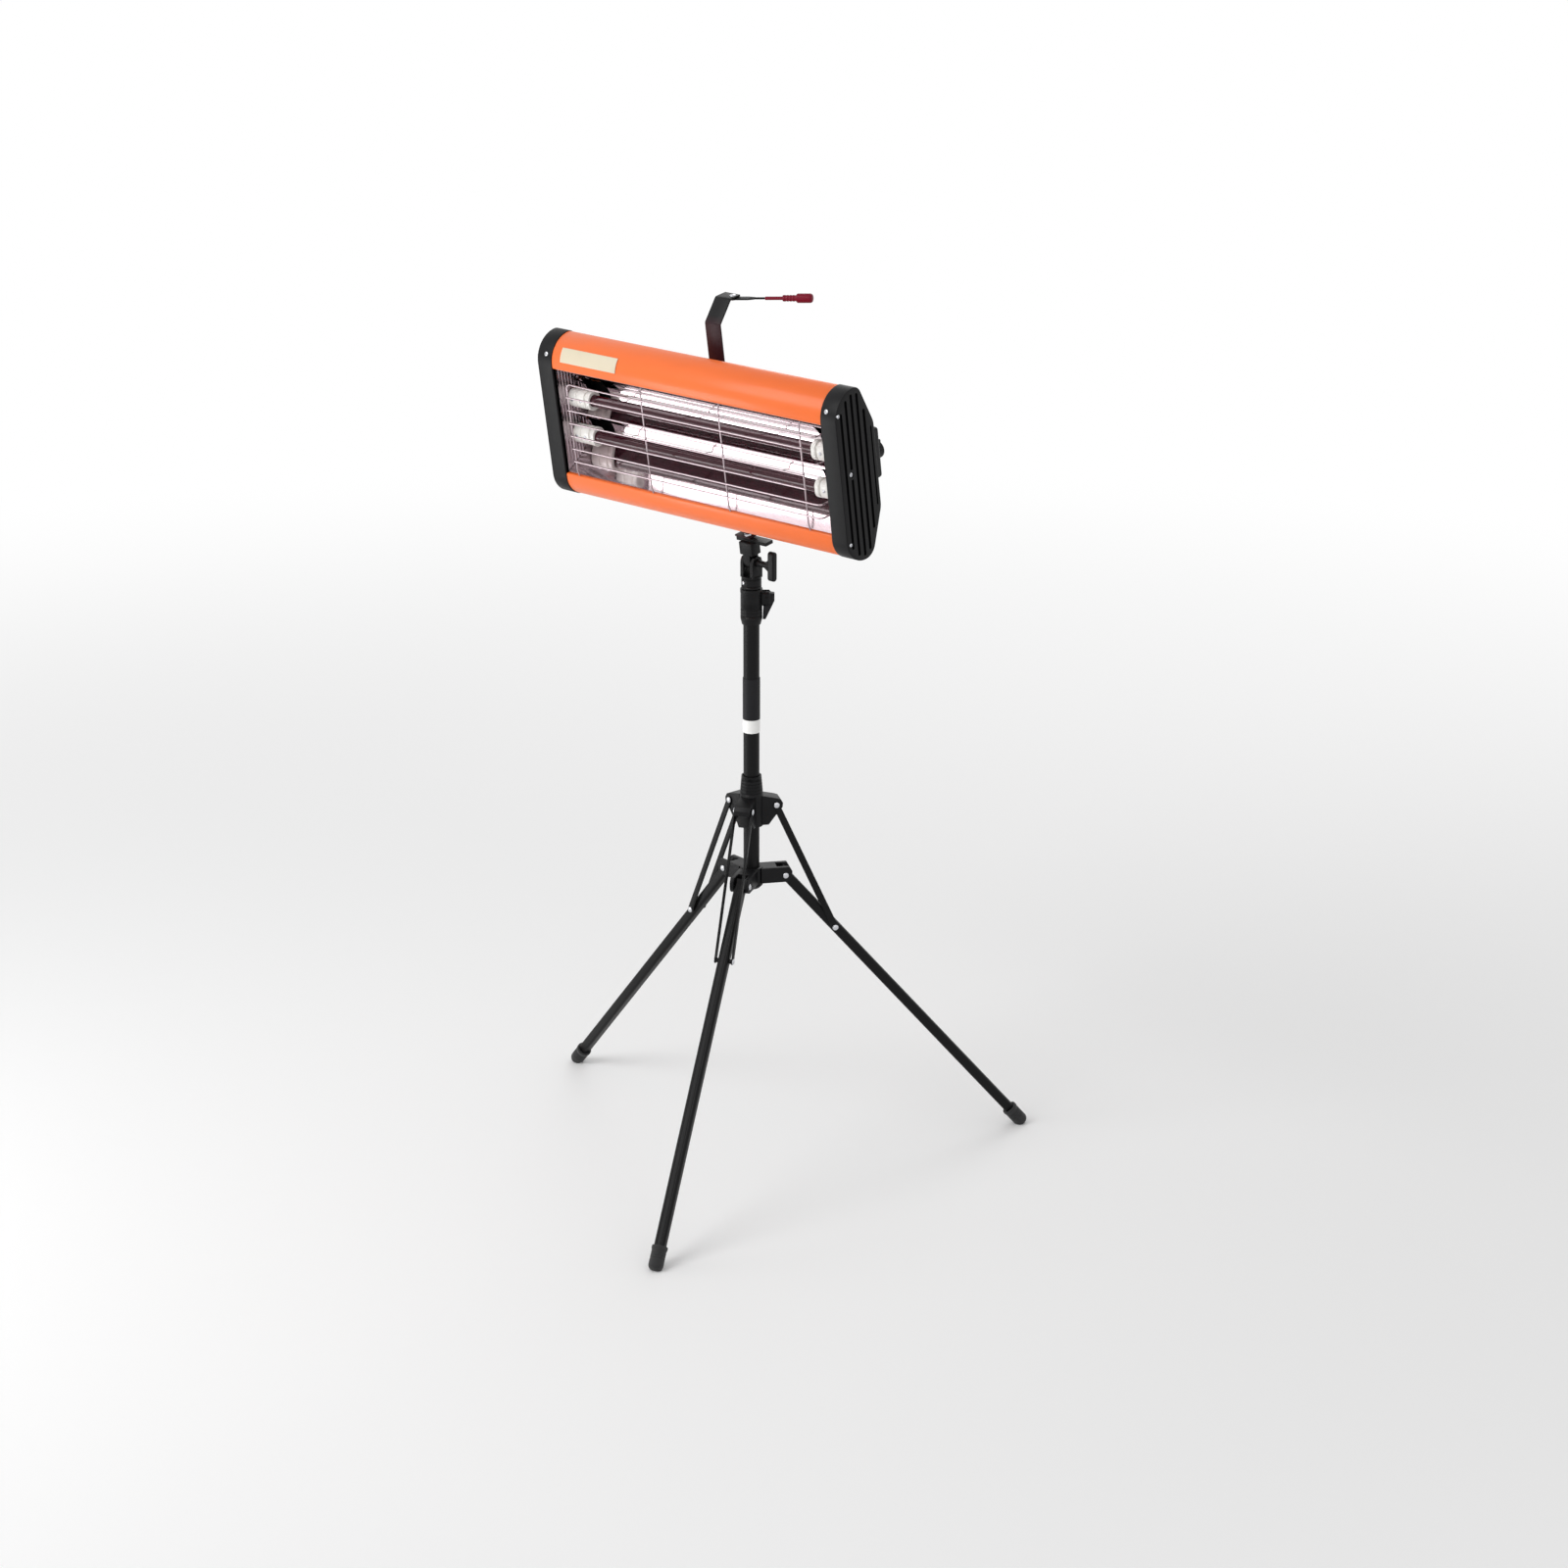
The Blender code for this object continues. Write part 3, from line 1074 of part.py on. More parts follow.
def infrared_tubes(head):
    """Two ruby quartz tubes with their elements, each between two ceramic holders."""
    for level, height in (("upper", TUBE_SPACING / 2), ("lower", -TUBE_SPACING / 2)):
        half = HOLDER_FACE + GLASS_IN_HOLDER
        glass = ring(f"{level}_quartz_tube", GLASS_RADIUS, GLASS_RADIUS - GLASS_WALL, -half, half, 16)
        finished(placed(glass, head, (0, GLASS_DEPTH, height), ALONG_X), RUBY_GLASS)
        element_length = 2 * (HOLDER_FACE + HOLDER_SOCKET - GAP)
        element = rod(f"{level}_element", ELEMENT_RADIUS, element_length, 8)
        finished(placed(element, head, (0, GLASS_DEPTH, height), ALONG_X), STEEL)
        for side, way in (("left", -1), ("right", 1)):
            size = (HOLDER_LENGTH - GAP, HOLDER_DEPTH, HOLDER_HEIGHT)
            block = bevelled(box(f"{level}_holder_{side}", size), HOLDER_BEVEL, 1)
            place = (way * (HOLDER_FACE + HOLDER_LENGTH / 2 - GAP / 2), GLASS_DEPTH, height)
            placed(block, head, place)
            socket_length = HOLDER_SOCKET + OVERRUN
            socket = rod(f"{level}_{side}_socket", GLASS_RADIUS + GAP, socket_length, 16)
            socket_middle = way * (HOLDER_FACE + (HOLDER_SOCKET - OVERRUN) / 2)
            cut(block, placed(socket, head, (socket_middle, GLASS_DEPTH, height), ALONG_X))
            finished(block, CERAMIC)


def wire_guard(head):
    """The guard: rows along the window, welded to bars whose ends stand on the lips."""
    front = -GUARD_STAND_OFF
    behind = front + 2 * WIRE_RADIUS - GUARD_BITE
    outer_bar = GUARD_BAR_PITCH * (GUARD_BARS - 1) / 2
    short = outer_bar + GUARD_ROW_OVERHANG
    reach = outer_bar + GUARD_ROW_REACH
    lean = math.atan2(GUARD_BAR_SET_BACK - behind, GUARD_BEND)
    foot = WINDOW_HALF - GAP - WIRE_RADIUS * math.sin(lean)
    knee = foot - GUARD_BEND
    guard = None
    for i in range(GUARD_BARS):
        x = -outer_bar + i * GUARD_BAR_PITCH
        points = [(x, GUARD_BAR_SET_BACK, foot), (x, behind, knee)]
        points += [(x, y, -z) for x, y, z in reversed(points)]
        bar = as_mesh(wire("wire_guard" if guard is None else f"guard_bar_{i}", points, WIRE_RADIUS))
        placed(bar, head)
        if guard is None:
            guard = bar
        else:
            join(guard, bar)
    for i in range(GUARD_ROWS):
        z = (i - (GUARD_ROWS - 1) / 2) * GUARD_ROW_PITCH
        if i % 2:
            points = [(-short, front, z), (short, front, z)]
        else:
            points = [(-reach, front + GUARD_RETURN, z), (GUARD_BEND / 3 - reach, front + GUARD_BEND / 2, z)]
            points.append((GUARD_BEND - reach, front, z))
            points += [(-x, y, z) for x, y, z in reversed(points)]
        row = as_mesh(wire(f"guard_row_{i}", points, WIRE_RADIUS))
        join(guard, placed(row, head))
    finished(guard, BRIGHT_METAL)


def cap_grooves(head, side, x):
    """The grooves of one cap: parallel strips that end inside the section's outline."""
    outline = section_outline(CAP_GROOVE_MARGIN)
    grooves = as_mesh(plate("cap_grooves_" + side, [outline], 2 * CAP_GROOVE_DEPTH))
    placed(grooves, head, (x, 0, 0), ACROSS_X)
    size = (3 * CAP_GROOVE_DEPTH, CAP_GROOVE_PITCH - CAP_GROOVE_WIDTH, 2 * HEAD_TOP)
    for i in range(CAP_GROOVES + 1):
        back = CAP_GROOVE_START + (i - 0.5) * CAP_GROOVE_PITCH
        cut(grooves, placed(box(f"cap_rib_{side}_{i}", size), head, (x, back, 0)))
    return grooves


def end_caps(head):
    """The two moulded end caps, hollow to the head and grooved outside, each with a screw."""
    for side, way in (("left", -1), ("right", 1)):
        cap = as_mesh(plate("end_cap_" + side, [section_outline(-CAP_PROUD)], CAP_THICKNESS))
        inner_face = HEAD_LENGTH / 2 + GAP
        outer_face = inner_face + CAP_THICKNESS
        placed(cap, head, (way * (inner_face + outer_face) / 2, 0, 0), ACROSS_X)
        bevelled(cap, CAP_BEVEL, 1)
        pocket_depth = CAP_THICKNESS - CAP_FACE + OVERRUN
        pocket = plate(f"cap_pocket_{side}", [section_outline(CAP_WALL - CAP_PROUD)], pocket_depth)
        pocket_middle = way * (inner_face - OVERRUN + pocket_depth / 2)
        cut(cap, as_mesh(placed(pocket, head, (pocket_middle, 0, 0), ACROSS_X)))
        cut(cap, cap_grooves(head, side, way * outer_face))
        place = (way * outer_face, CAP_SCREW_BEHIND_FRONT, CAP_SCREW_RISE)
        recess_depth = CAP_GROOVE_DEPTH + OVERRUN
        recess = rod(f"cap_recess_{side}", CAP_SCREW_HEAD_RADIUS + GAP, 2 * CAP_GROOVE_DEPTH, 16)
        cut(cap, placed(recess, head, place, ALONG_X))
        hole = rod(f"cap_hole_{side}", CAP_SCREW_RADIUS + GAP, 2 * (CAP_FACE + recess_depth))
        cut(cap, placed(hole, head, place, ALONG_X))
        finished(cap, BLACK_PLASTIC)
        pin = screw(
            "cap_screw_" + side,
            CAP_SCREW_RADIUS,
            CAP_SCREW_SHANK,
            CAP_SCREW_HEAD_RADIUS,
            CAP_SCREW_HEAD_HEIGHT,
        )
        seat = way * (outer_face - CAP_GROOVE_DEPTH + GAP)
        placed(pin, head, (seat, CAP_SCREW_BEHIND_FRONT, CAP_SCREW_RISE), (0, way * QUARTER, 0))
        finished(pin, STEEL)


def bare_plate(head):
    """The bare cream plate that follows the upper shell's front curve."""
    turn_y, turn_z = FRONT_TOP_ROUND, HEAD_TOP - FRONT_TOP_ROUND
    start = 2 * QUARTER - BARE_PLATE_HIGH_ANGLE
    end = 2 * QUARTER - BARE_PLATE_LOW_ANGLE
    path = arc((turn_y, turn_z), FRONT_TOP_ROUND + GAP + BARE_PLATE_WALL, start, end)
    cover = sheet("bare_plate", path, BARE_PLATE_LENGTH, BARE_PLATE_WALL)
    middle = BARE_PLATE_FROM_END + (BARE_PLATE_LENGTH - HEAD_LENGTH) / 2
    finished(placed(cover, head, (middle, 0, 0), ACROSS_X), CREAM)


def terminal_block(head):
    """The terminal block inside, on the back panel."""
    size = (TERMINAL_LENGTH, TERMINAL_DEPTH, TERMINAL_HEIGHT)
    middle = HEAD_DEPTH - SHELL_WALL - GAP - TERMINAL_DEPTH / 2
    block = placed(box("terminal_block", size), head, (-TERMINAL_OFF_MIDDLE, middle, 0))
    step_size = (TERMINAL_LENGTH + OVERRUN, TERMINAL_STEP + OVERRUN, TERMINAL_STEP + OVERRUN)
    y = -(TERMINAL_DEPTH + OVERRUN) / 2 + TERMINAL_STEP / 2
    for side, way in (("top", 1), ("bottom", -1)):
        z = way * ((TERMINAL_HEIGHT + OVERRUN) / 2 - TERMINAL_STEP / 2)
        step = box("terminal_step_" + side, step_size)
        cut(block, placed(step, head, (-TERMINAL_OFF_MIDDLE, middle + y, z)))
    finished(block, WHITE_PLASTIC)


def switch_box(head):
    """The box behind the right end, with the cable gland under it; gives the switch's place."""
    x = HEAD_LENGTH / 2 - BOX_FROM_END - BOX_LENGTH / 2
    front = HEAD_DEPTH + GAP
    middle = front + BOX_DEPTH / 2
    block = bevelled(box("switch_box", (BOX_LENGTH, BOX_DEPTH + BOX_BEVEL, BOX_HEIGHT)), BOX_BEVEL)
    case = placed(block, head, (x, middle - BOX_BEVEL / 2, 0))
    trim = box("box_trim", (BOX_LENGTH + OVERRUN, BOX_BEVEL + OVERRUN, BOX_HEIGHT + OVERRUN))
    cut(case, placed(trim, head, (x, front - (BOX_BEVEL + OVERRUN) / 2, 0)))
    pocket_depth = BOX_DEPTH - BOX_WALL + OVERRUN
    pocket = box("box_pocket", (BOX_LENGTH - 2 * BOX_WALL, pocket_depth, BOX_HEIGHT - 2 * BOX_WALL))
    cut(case, placed(pocket, head, (x, front - OVERRUN + pocket_depth / 2, 0)))
    switch = (x + SWITCH_OFF_BOX_CENTRE, front + BOX_DEPTH, -SWITCH_BELOW_BOX_CENTRE)
    hole = rod("box_switch_hole", SWITCH_SHAFT_RADIUS + GAP, 2 * BOX_WALL + OVERRUN)
    cut(case, placed(hole, head, switch, ALONG_Y))
    gland_place = (x, middle, -BOX_HEIGHT / 2 - GAP)
    neck = GLAND_BORE + GLAND_THREAD
    gland_hole = rod("box_gland_hole", neck + GAP, 2 * BOX_WALL + OVERRUN)
    cut(case, placed(gland_hole, head, gland_place))
    finished(case, BLACK_PLASTIC)
    profile = [
        (neck, BOX_WALL + 2 * GAP),
        (neck, 0),
        (GLAND_NUT_RADIUS, 0),
        (GLAND_NUT_RADIUS, -GLAND_NUT_HEIGHT),
        (GLAND_RADIUS, -GLAND_NUT_HEIGHT),
        (GLAND_RADIUS, -GLAND_LENGTH + GLAND_THREAD),
        (neck, -GLAND_LENGTH),
        (GLAND_BORE, -GLAND_LENGTH),
        (GLAND_BORE, BOX_WALL + 2 * GAP),
    ]
    gland = turned("cable_gland", profile, 16, closed=True)
    finished(placed(gland, head, gland_place), BLACK_PLASTIC)
    return switch


def switch_knob(head, place):
    """The rotary switch's knob with its shaft in the box."""
    x, y, z = place
    hinge = axis_empty("switch_axis", head, (x, y + GAP, z), ALONG_Y)
    profile = [
        (0, SWITCH_KNOB_HEIGHT - SWITCH_SKIRT_HEIGHT),
        (SWITCH_BODY_RADIUS, SWITCH_KNOB_HEIGHT - SWITCH_SKIRT_HEIGHT),
        (SWITCH_BODY_RADIUS, SWITCH_SKIRT_HEIGHT),
        (SWITCH_SKIRT_RADIUS, SWITCH_SKIRT_HEIGHT),
        (SWITCH_SKIRT_RADIUS, 0),
        (SWITCH_SHAFT_RADIUS, 0),
        (SWITCH_SHAFT_RADIUS, -2 * BOX_WALL),
        (0, -2 * BOX_WALL),
    ]
    knob = placed(turned("switch_knob", profile, 16), hinge)
    fin_size = (SWITCH_FIN_WIDTH, 2 * SWITCH_BODY_RADIUS, SWITCH_KNOB_HEIGHT - SWITCH_SKIRT_HEIGHT)
    fin = bevelled(box("switch_fin", fin_size), GLAND_THREAD, 1)
    join(knob, placed(fin, hinge, (0, 0, SWITCH_KNOB_HEIGHT - fin_size[2] / 2)))
    finished(knob, BLACK_PLASTIC)


def centre_on_floor(base):
    """Move the whole part so that the middle of its outline stands over the origin."""
    bpy.context.view_layer.update()
    depsgraph = bpy.context.evaluated_depsgraph_get()
    xs, ys = [], []
    for obj in PIECES.objects:
        if obj.type != "EMPTY":
            seen = obj.evaluated_get(depsgraph)
            mesh = seen.to_mesh()
            places = [seen.matrix_world @ vertex.co for vertex in mesh.vertices]
            xs += [place.x for place in places]
            ys += [place.y for place in places]
            seen.to_mesh_clear()
    base.location.x -= (min(xs) + max(xs)) / 2
    base.location.y -= (min(ys) + max(ys)) / 2


def build():
    """Make every piece on its frame."""
    base = axis_empty("stand_base")
    azimuths = {name: FIRST_LEG_AZIMUTH + i * 2 * math.pi / LEG_COUNT for i, name in enumerate(LEG_NAMES)}
    bays = {name: axis_empty("bay_" + name, base, rotation=(0, 0, turn)) for name, turn in azimuths.items()}
    leg_hub(base, bays)
    column(base)
    slide = brace_collar(base, bays)
    for name, bay in bays.items():
        leg(name, bay)
        brace(name, azimuths[name], slide)
    column_clamp(base)
    pan = swivel_adaptor(mast(base))
    tilt_knob(pan)
    tilt = axis_empty("tilt_axis", pan, (0, 0, TILT_PIVOT_HEIGHT), (TILT_AT_REST, 0, 0))
    tilt_bracket(tilt)
    lever_arm(tilt, strap(tilt))
    head = axis_empty("head_frame", tilt, (HEAD_OFFSET, HEAD_FRONT, HEAD_ABOVE_TILT_PIVOT))
    shells(head)
    reflector(head)
    infrared_tubes(head)
    wire_guard(head)
    end_caps(head)
    bare_plate(head)
    terminal_block(head)
    switch_knob(head, switch_box(head))
    centre_on_floor(base)


build()
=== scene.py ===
"""Builds an infrared paint curing lamp over its frame: head, strap, lever and tripod stand."""

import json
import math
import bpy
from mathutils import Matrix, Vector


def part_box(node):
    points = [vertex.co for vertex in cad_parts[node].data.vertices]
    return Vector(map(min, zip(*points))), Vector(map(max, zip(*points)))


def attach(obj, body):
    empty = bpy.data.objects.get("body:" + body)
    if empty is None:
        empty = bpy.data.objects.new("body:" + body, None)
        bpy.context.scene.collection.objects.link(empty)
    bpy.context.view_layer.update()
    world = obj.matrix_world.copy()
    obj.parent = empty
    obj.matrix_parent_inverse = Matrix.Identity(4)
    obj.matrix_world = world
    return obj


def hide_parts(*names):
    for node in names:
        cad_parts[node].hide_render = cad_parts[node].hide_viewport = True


bl_info = {
    "name": "Infrared Curing Lamp",
    "version": (1, 0, 0),
    "blender": (4, 5, 0),
    "location": "View3D > Sidebar > Curing Lamp",
    "description": "Models an infrared paint curing lamp on a folding tripod stand",
    "category": "Object",
}

import bpy
from bpy.props import FloatProperty, FloatVectorProperty, PointerProperty
from bpy.types import Operator, Panel, PropertyGroup
from mathutils import Euler, Matrix, Quaternion, Vector

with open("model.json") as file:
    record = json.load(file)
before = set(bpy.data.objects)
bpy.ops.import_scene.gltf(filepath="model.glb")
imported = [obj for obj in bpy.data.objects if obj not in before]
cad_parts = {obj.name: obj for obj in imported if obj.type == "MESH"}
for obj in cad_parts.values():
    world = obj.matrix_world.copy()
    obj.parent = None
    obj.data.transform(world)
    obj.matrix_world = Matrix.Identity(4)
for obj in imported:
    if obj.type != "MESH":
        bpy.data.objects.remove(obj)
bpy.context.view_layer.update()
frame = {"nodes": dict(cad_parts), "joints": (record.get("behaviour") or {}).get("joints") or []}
JOINTS = {joint["name"]: joint for joint in frame["joints"]}

MM = 0.001
QUARTER = math.pi / 2
ACROSS_X = (QUARTER, 0, QUARTER)
ACROSS_Y = (QUARTER, 0, 0)
ALONG_X = (0, QUARTER, 0)
ALONG_Y = (-QUARTER, 0, 0)
LEG_NAMES = ("front", "right", "left")


def mm(*values):
    """Millimetres as metres."""
    return tuple(value * MM for value in values)


# The middle of the head's window, seen from the tilt joint at rest
HEAD_PLACE = mm(-11, -95, 211)


# Sizes and colours that a user would change


def length(name, default, description):
    """A size property in metres, given in millimetres."""
    return FloatProperty(
        name=name, description=description, default=default * MM, min=0, unit="LENGTH", precision=4
    )


def linear(code):
    """The linear RGB of an sRGB hex colour."""
    channels = [int(code[i : i + 2], 16) / 255 for i in (0, 2, 4)]
    return [c / 12.92 if c <= 0.04045 else ((c + 0.055) / 1.055) ** 2.4 for c in channels]


def colour(name, code, description):
    """A colour property, given as an sRGB hex code."""
    return FloatVectorProperty(
        name=name, description=description, default=linear(code), size=3, min=0, max=1, subtype="COLOR"
    )


class LampHeadSizes(PropertyGroup):
    """Sizes of the head's section, shells and caps."""

    width: length("Width", 540, "Length of the shells between the end caps")
    depth: length("Depth", 78, "Depth of the section from its window to its back")
    top: length("Top", 131, "Height of the section above its middle")
    bottom: length("Bottom", 127, "Height of the section below its middle")
    shoulder: length("Shoulder", 52, "Depth at which the top starts to fall to the back")
    back_high: length("Back high", 70, "Upper corner of the back")
    back_low: length("Back low", 60, "Lower corner of the back")
    crown: length("Crown", 42, "Round between the front and the top")
    wall: length("Sheet", 1.6, "Thickness of the shells")
    window: length("Half window", 84, "Half of the window's height")
    lip: length("Lip", 11, "Depth of the lip round the window")
    seam: length("Half seam", 42, "Half of the back panel's height")
    cap: length("Cap", 30, "Thickness of an end cap")
    gap: length("Gap", 0.3, "Clearance between neighbouring pieces")


class HeaterSizes(PropertyGroup):
    """Sizes of the tubes, holders, reflector and guard."""

    spacing: length("Spacing", 58, "Distance between the two tubes")
    glass: length("Glass radius", 9, "Outer radius of a quartz tube")
    glass_wall: length("Glass wall", 1.4, "Wall of a quartz tube")
    glass_depth: length("Glass depth", 35, "Depth of the tubes behind the window")
    coil: length("Coil radius", 2.6, "Radius of the heating coil")
    coil_pitch: length("Coil pitch", 4.5, "Distance between two turns of the coil")
    holder: length("Holder", 44, "Length of a ceramic holder")
    trough: length("Trough", 60, "Depth of the reflector's two valleys")
    mouth: length("Mouth", 4, "Depth of the reflector's edges")
    wire: length("Wire radius", 1.3, "Radius of the guard's wires")
    bar_pitch: length("Bar pitch", 157, "Distance between the guard's bars")
    row_pitch: length("Row pitch", 20.7, "Distance between the guard's rows")


class StandSizes(PropertyGroup):
    """Sizes of the column, legs and braces."""

    tube: length("Tube radius", 12.5, "Outer radius of the column")
    leg: length("Leg", 604, "Length of a leg below its pivot")
    leg_width: length("Leg width", 17, "Width of a leg")
    leg_depth: length("Leg depth", 16, "Depth of a leg")
    brace: length("Brace", 233, "Length of a brace between its pivots")
    rivet: length("Rivet head", 4.7, "Radius of a rivet's head")


class LampFinishes(PropertyGroup):
    """Colours of the lamp's finishes."""

    orange: colour("Orange coat", "F4702A", "Coat of the shells")
    black_coat: colour("Black coat", "0B0B0C", "Powder coat of the stand")
    black_plastic: colour("Black plastic", "0B0B0D", "Moulded fittings and caps")
    grey_plastic: colour("Grey plastic", "1A1A1D", "Lever and sleeve")
    ruby: colour("Ruby quartz", "520A24", "Glass of the tubes")
    crimson: colour("Crimson plastic", "7A1028", "Grip of the lever")
    ceramic: colour("Ceramic", "F1EFEA", "Holders of the tubes")
    cream: colour("Cream", "DCD0B6", "Bare plate on the shell")
    # Chrome and polished sheet: their pink tints are a painted reflection of the lamp's red and orange parts
    chrome: colour("Chrome", "B5A6AB", "Wires of the guard")
    mirror: colour("Polished sheet", "E4D9DC", "Reflector")
    steel: colour("Zinc steel", "C9CACE", "Screws and rivets")


# Materials


def add_node(tree, kind, settings=(), inputs=()):
    """Add a shader node; settings are its own values, inputs are values or sockets that feed it."""
    node = tree.nodes.new(kind)
    for name, value in dict(settings).items():
        setattr(node, name, value)
    for name, value in dict(inputs).items():
        if isinstance(value, bpy.types.NodeSocket):
            tree.links.new(value, node.inputs[name])
        else:
            node.inputs[name].default_value = value
    return node


def surface(name, tint, roughness, metallic=0.0, sockets=()):
    """A new material with its shader set, and its tree."""
    material = bpy.data.materials.new(name)
    material.use_nodes = True
    tree = material.node_tree
    shader = tree.nodes["Principled BSDF"]
    shader.inputs["Base Color"].default_value = (*tint, 1)
    shader.inputs["Roughness"].default_value = roughness
    shader.inputs["Metallic"].default_value = metallic
    for socket, value in dict(sockets).items():
        shader.inputs[socket].default_value = value
    return material, tree, shader


def per(size):
    """The texture scale at which a pattern's feature has this size in metres."""
    return 1 / size


def place_of(tree, stretch=(1, 1, 1), turn=(0, 0, 0)):
    """The object's coordinates, stretched and turned for a pattern."""
    coordinates = add_node(tree, "ShaderNodeTexCoord")
    where = {"Vector": coordinates.outputs["Object"], "Scale": stretch, "Rotation": turn}
    return add_node(tree, "ShaderNodeMapping", inputs=where).outputs["Vector"]


def textured(tree, shader, size, depth, stretch=(1, 1, 1), detail=2.0, turn=(0, 0, 0)):
    """Raise a fine grain of this size and depth on the surface; gives the grain's value."""
    where = place_of(tree, stretch, turn)
    pattern = {"Vector": where, "Scale": per(size), "Detail": detail, "Roughness": 0.55}
    noise = add_node(tree, "ShaderNodeTexNoise", inputs=pattern)
    raised = {"Height": noise.outputs["Fac"], "Distance": depth, "Strength": 1.0}
    bump = add_node(tree, "ShaderNodeBump", inputs=raised)
    tree.links.new(bump.outputs["Normal"], shader.inputs["Normal"])
    return noise.outputs["Fac"]


def varied(tree, shader, socket, factor, low, high):
    """Let a shader value run between two limits with a pattern, whose own values lie at 0.3 to 0.7."""
    limits = {"Value": factor, "From Min": 0.3, "From Max": 0.7, "To Min": low, "To Max": high}
    spread = add_node(tree, "ShaderNodeMapRange", inputs=limits)
    tree.links.new(spread.outputs["Result"], shader.inputs[socket])


def tinted(tree, shader, factor, tint, shift):
    """Let the colour drift a little with a pattern, from darker to lighter."""
    darker = (*[c * (1 - shift) for c in tint], 1)
    lighter = (*[min(1, c * (1 + shift)) for c in tint], 1)
    tints = {"Factor": factor, "A": darker, "B": lighter}
    mix = add_node(tree, "ShaderNodeMix", {"data_type": "RGBA"}, tints)
    tree.links.new(mix.outputs["Result"], shader.inputs["Base Color"])


def broad(tree, size):
    """A slow, broad pattern for drifts in colour and gloss."""
    pattern = {"Vector": place_of(tree), "Scale": per(size), "Detail": 3.0}
    return add_node(tree, "ShaderNodeTexNoise", inputs=pattern).outputs["Fac"]


def orange_enamel(colours):
    """Stoved enamel on sheet steel: glossy under a clear skin, with a faint orange peel of about 2 mm."""
    tint = tuple(colours.orange)
    skin = {"Coat Weight": 0.3, "Coat Roughness": 0.2, "Specular IOR Level": 0.3}
    material, tree, shader = surface("orange_stoved_enamel", tint, 0.45, sockets=skin)
    textured(tree, shader, 2.2 * MM, 0.03 * MM)
    drift = broad(tree, 60 * MM)
    varied(tree, shader, "Roughness", drift, 0.38, 0.47)
    tinted(tree, shader, drift, tint, 0.05)
    return material


def black_powder_coat(colours):
    """Black powder coat on steel tube: a leathery peel of about 1.2 mm that breaks up the gloss."""
    tint = tuple(colours.black_coat)
    material, tree, shader = surface("black_powder_coat", tint, 0.36, sockets={"Specular IOR Level": 0.17})
    grain = textured(tree, shader, 1.2 * MM, 0.06 * MM)
    varied(tree, shader, "Roughness", grain, 0.34, 0.5)
    tinted(tree, shader, broad(tree, 40 * MM), tint, 0.18)
    return material


def coat_with_painted_reflection(colours):
    """Black powder coat, running to a dark red-brown below the strap's upper bend: a painted reflection of
    the orange shell.
    """
    tint = tuple(colours.black_coat)
    gloss = {"Specular IOR Level": 0.2}
    material, tree, shader = surface("black_coat_painted_orange_reflection", tint, 0.3, sockets=gloss)
    grain = textured(tree, shader, 1.2 * MM, 0.06 * MM)
    varied(tree, shader, "Roughness", grain, 0.36, 0.5)
    height = add_node(tree, "ShaderNodeSeparateXYZ", inputs={"Vector": place_of(tree)})
    below_top, run = mm(40, 12)
    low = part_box("strap")[1].z - below_top
    limits = {"Value": height.outputs["Z"], "From Min": low, "From Max": low + run}
    fade = add_node(tree, "ShaderNodeMapRange", inputs=limits)
    # painted reflection: this dark red-brown stands in for the orange shell mirrored in the strap
    reflected_orange = (*linear("2C1219"), 1)
    tints = {"Factor": fade.outputs["Result"], "A": reflected_orange, "B": (*tint, 1)}
    mix = add_node(tree, "ShaderNodeMix", {"data_type": "RGBA"}, tints)
    tree.links.new(mix.outputs["Result"], shader.inputs["Base Color"])
    return material


def moulded_plastic(name, tint, roughness):
    """Glass-filled nylon from a sparked mould: an even grain of about 0.8 mm and a soft sheen."""
    gloss = {"IOR": 1.53, "Specular IOR Level": 0.17}
    material, tree, shader = surface(name, tint, roughness, sockets=gloss)
    grain = textured(tree, shader, 0.8 * MM, 0.05 * MM, detail=3.0)
    varied(tree, shader, "Roughness", grain, roughness - 0.06, roughness + 0.08)
    tinted(tree, shader, broad(tree, 30 * MM), tint, 0.12)
    return material


def chromed_wire(colours):
    """Chromed steel wire: a bright mirror with drawing lines of about 0.5 mm along it."""
    # painted reflection: this wire's pink tint stands in for the lamp's red and orange parts mirrored in it
    material, tree, shader = surface("chromed_wire", tuple(colours.chrome), 0.12, 1.0)
    grain = textured(tree, shader, 0.5 * MM, 0.01 * MM, (0.1, 1, 1))
    varied(tree, shader, "Roughness", grain, 0.1, 0.22)
    return material


def polished_sheet(colours):
    """Bright anodised aluminium: a mirror with rolling lines along it, coarser than real at 3 mm apart."""
    # painted reflection: this sheet's pink tint stands in for the red tubes and orange shell mirrored in it
    material, tree, shader = surface("bright_anodised_sheet", tuple(colours.mirror), 0.05, 1.0)
    grain = textured(tree, shader, 3 * MM, 0.006 * MM, (0.04, 1, 1), turn=(-head_lean(), 0, 0))
    varied(tree, shader, "Roughness", grain, 0.03, 0.08)
    return material


def fluted_sheet(colours):
    """Bright aluminium sheet rolled into flutes: the rolls roughen it and leave scratches of about 2 mm; its
    tint is painted shade and a painted reflection.
    """
    # painted shade and painted reflection: this tint is far darker than the reflector's same aluminium, and
    # pink from the lamp's red and orange parts mirrored in it
    tint = linear("A79BA0")
    material, tree, shader = surface("fluted_bright_sheet", tint, 0.14, 1.0)
    grain = textured(tree, shader, 2 * MM, 0.01 * MM, (1, 1, 0.1))
    varied(tree, shader, "Roughness", grain, 0.1, 0.2)
    return material


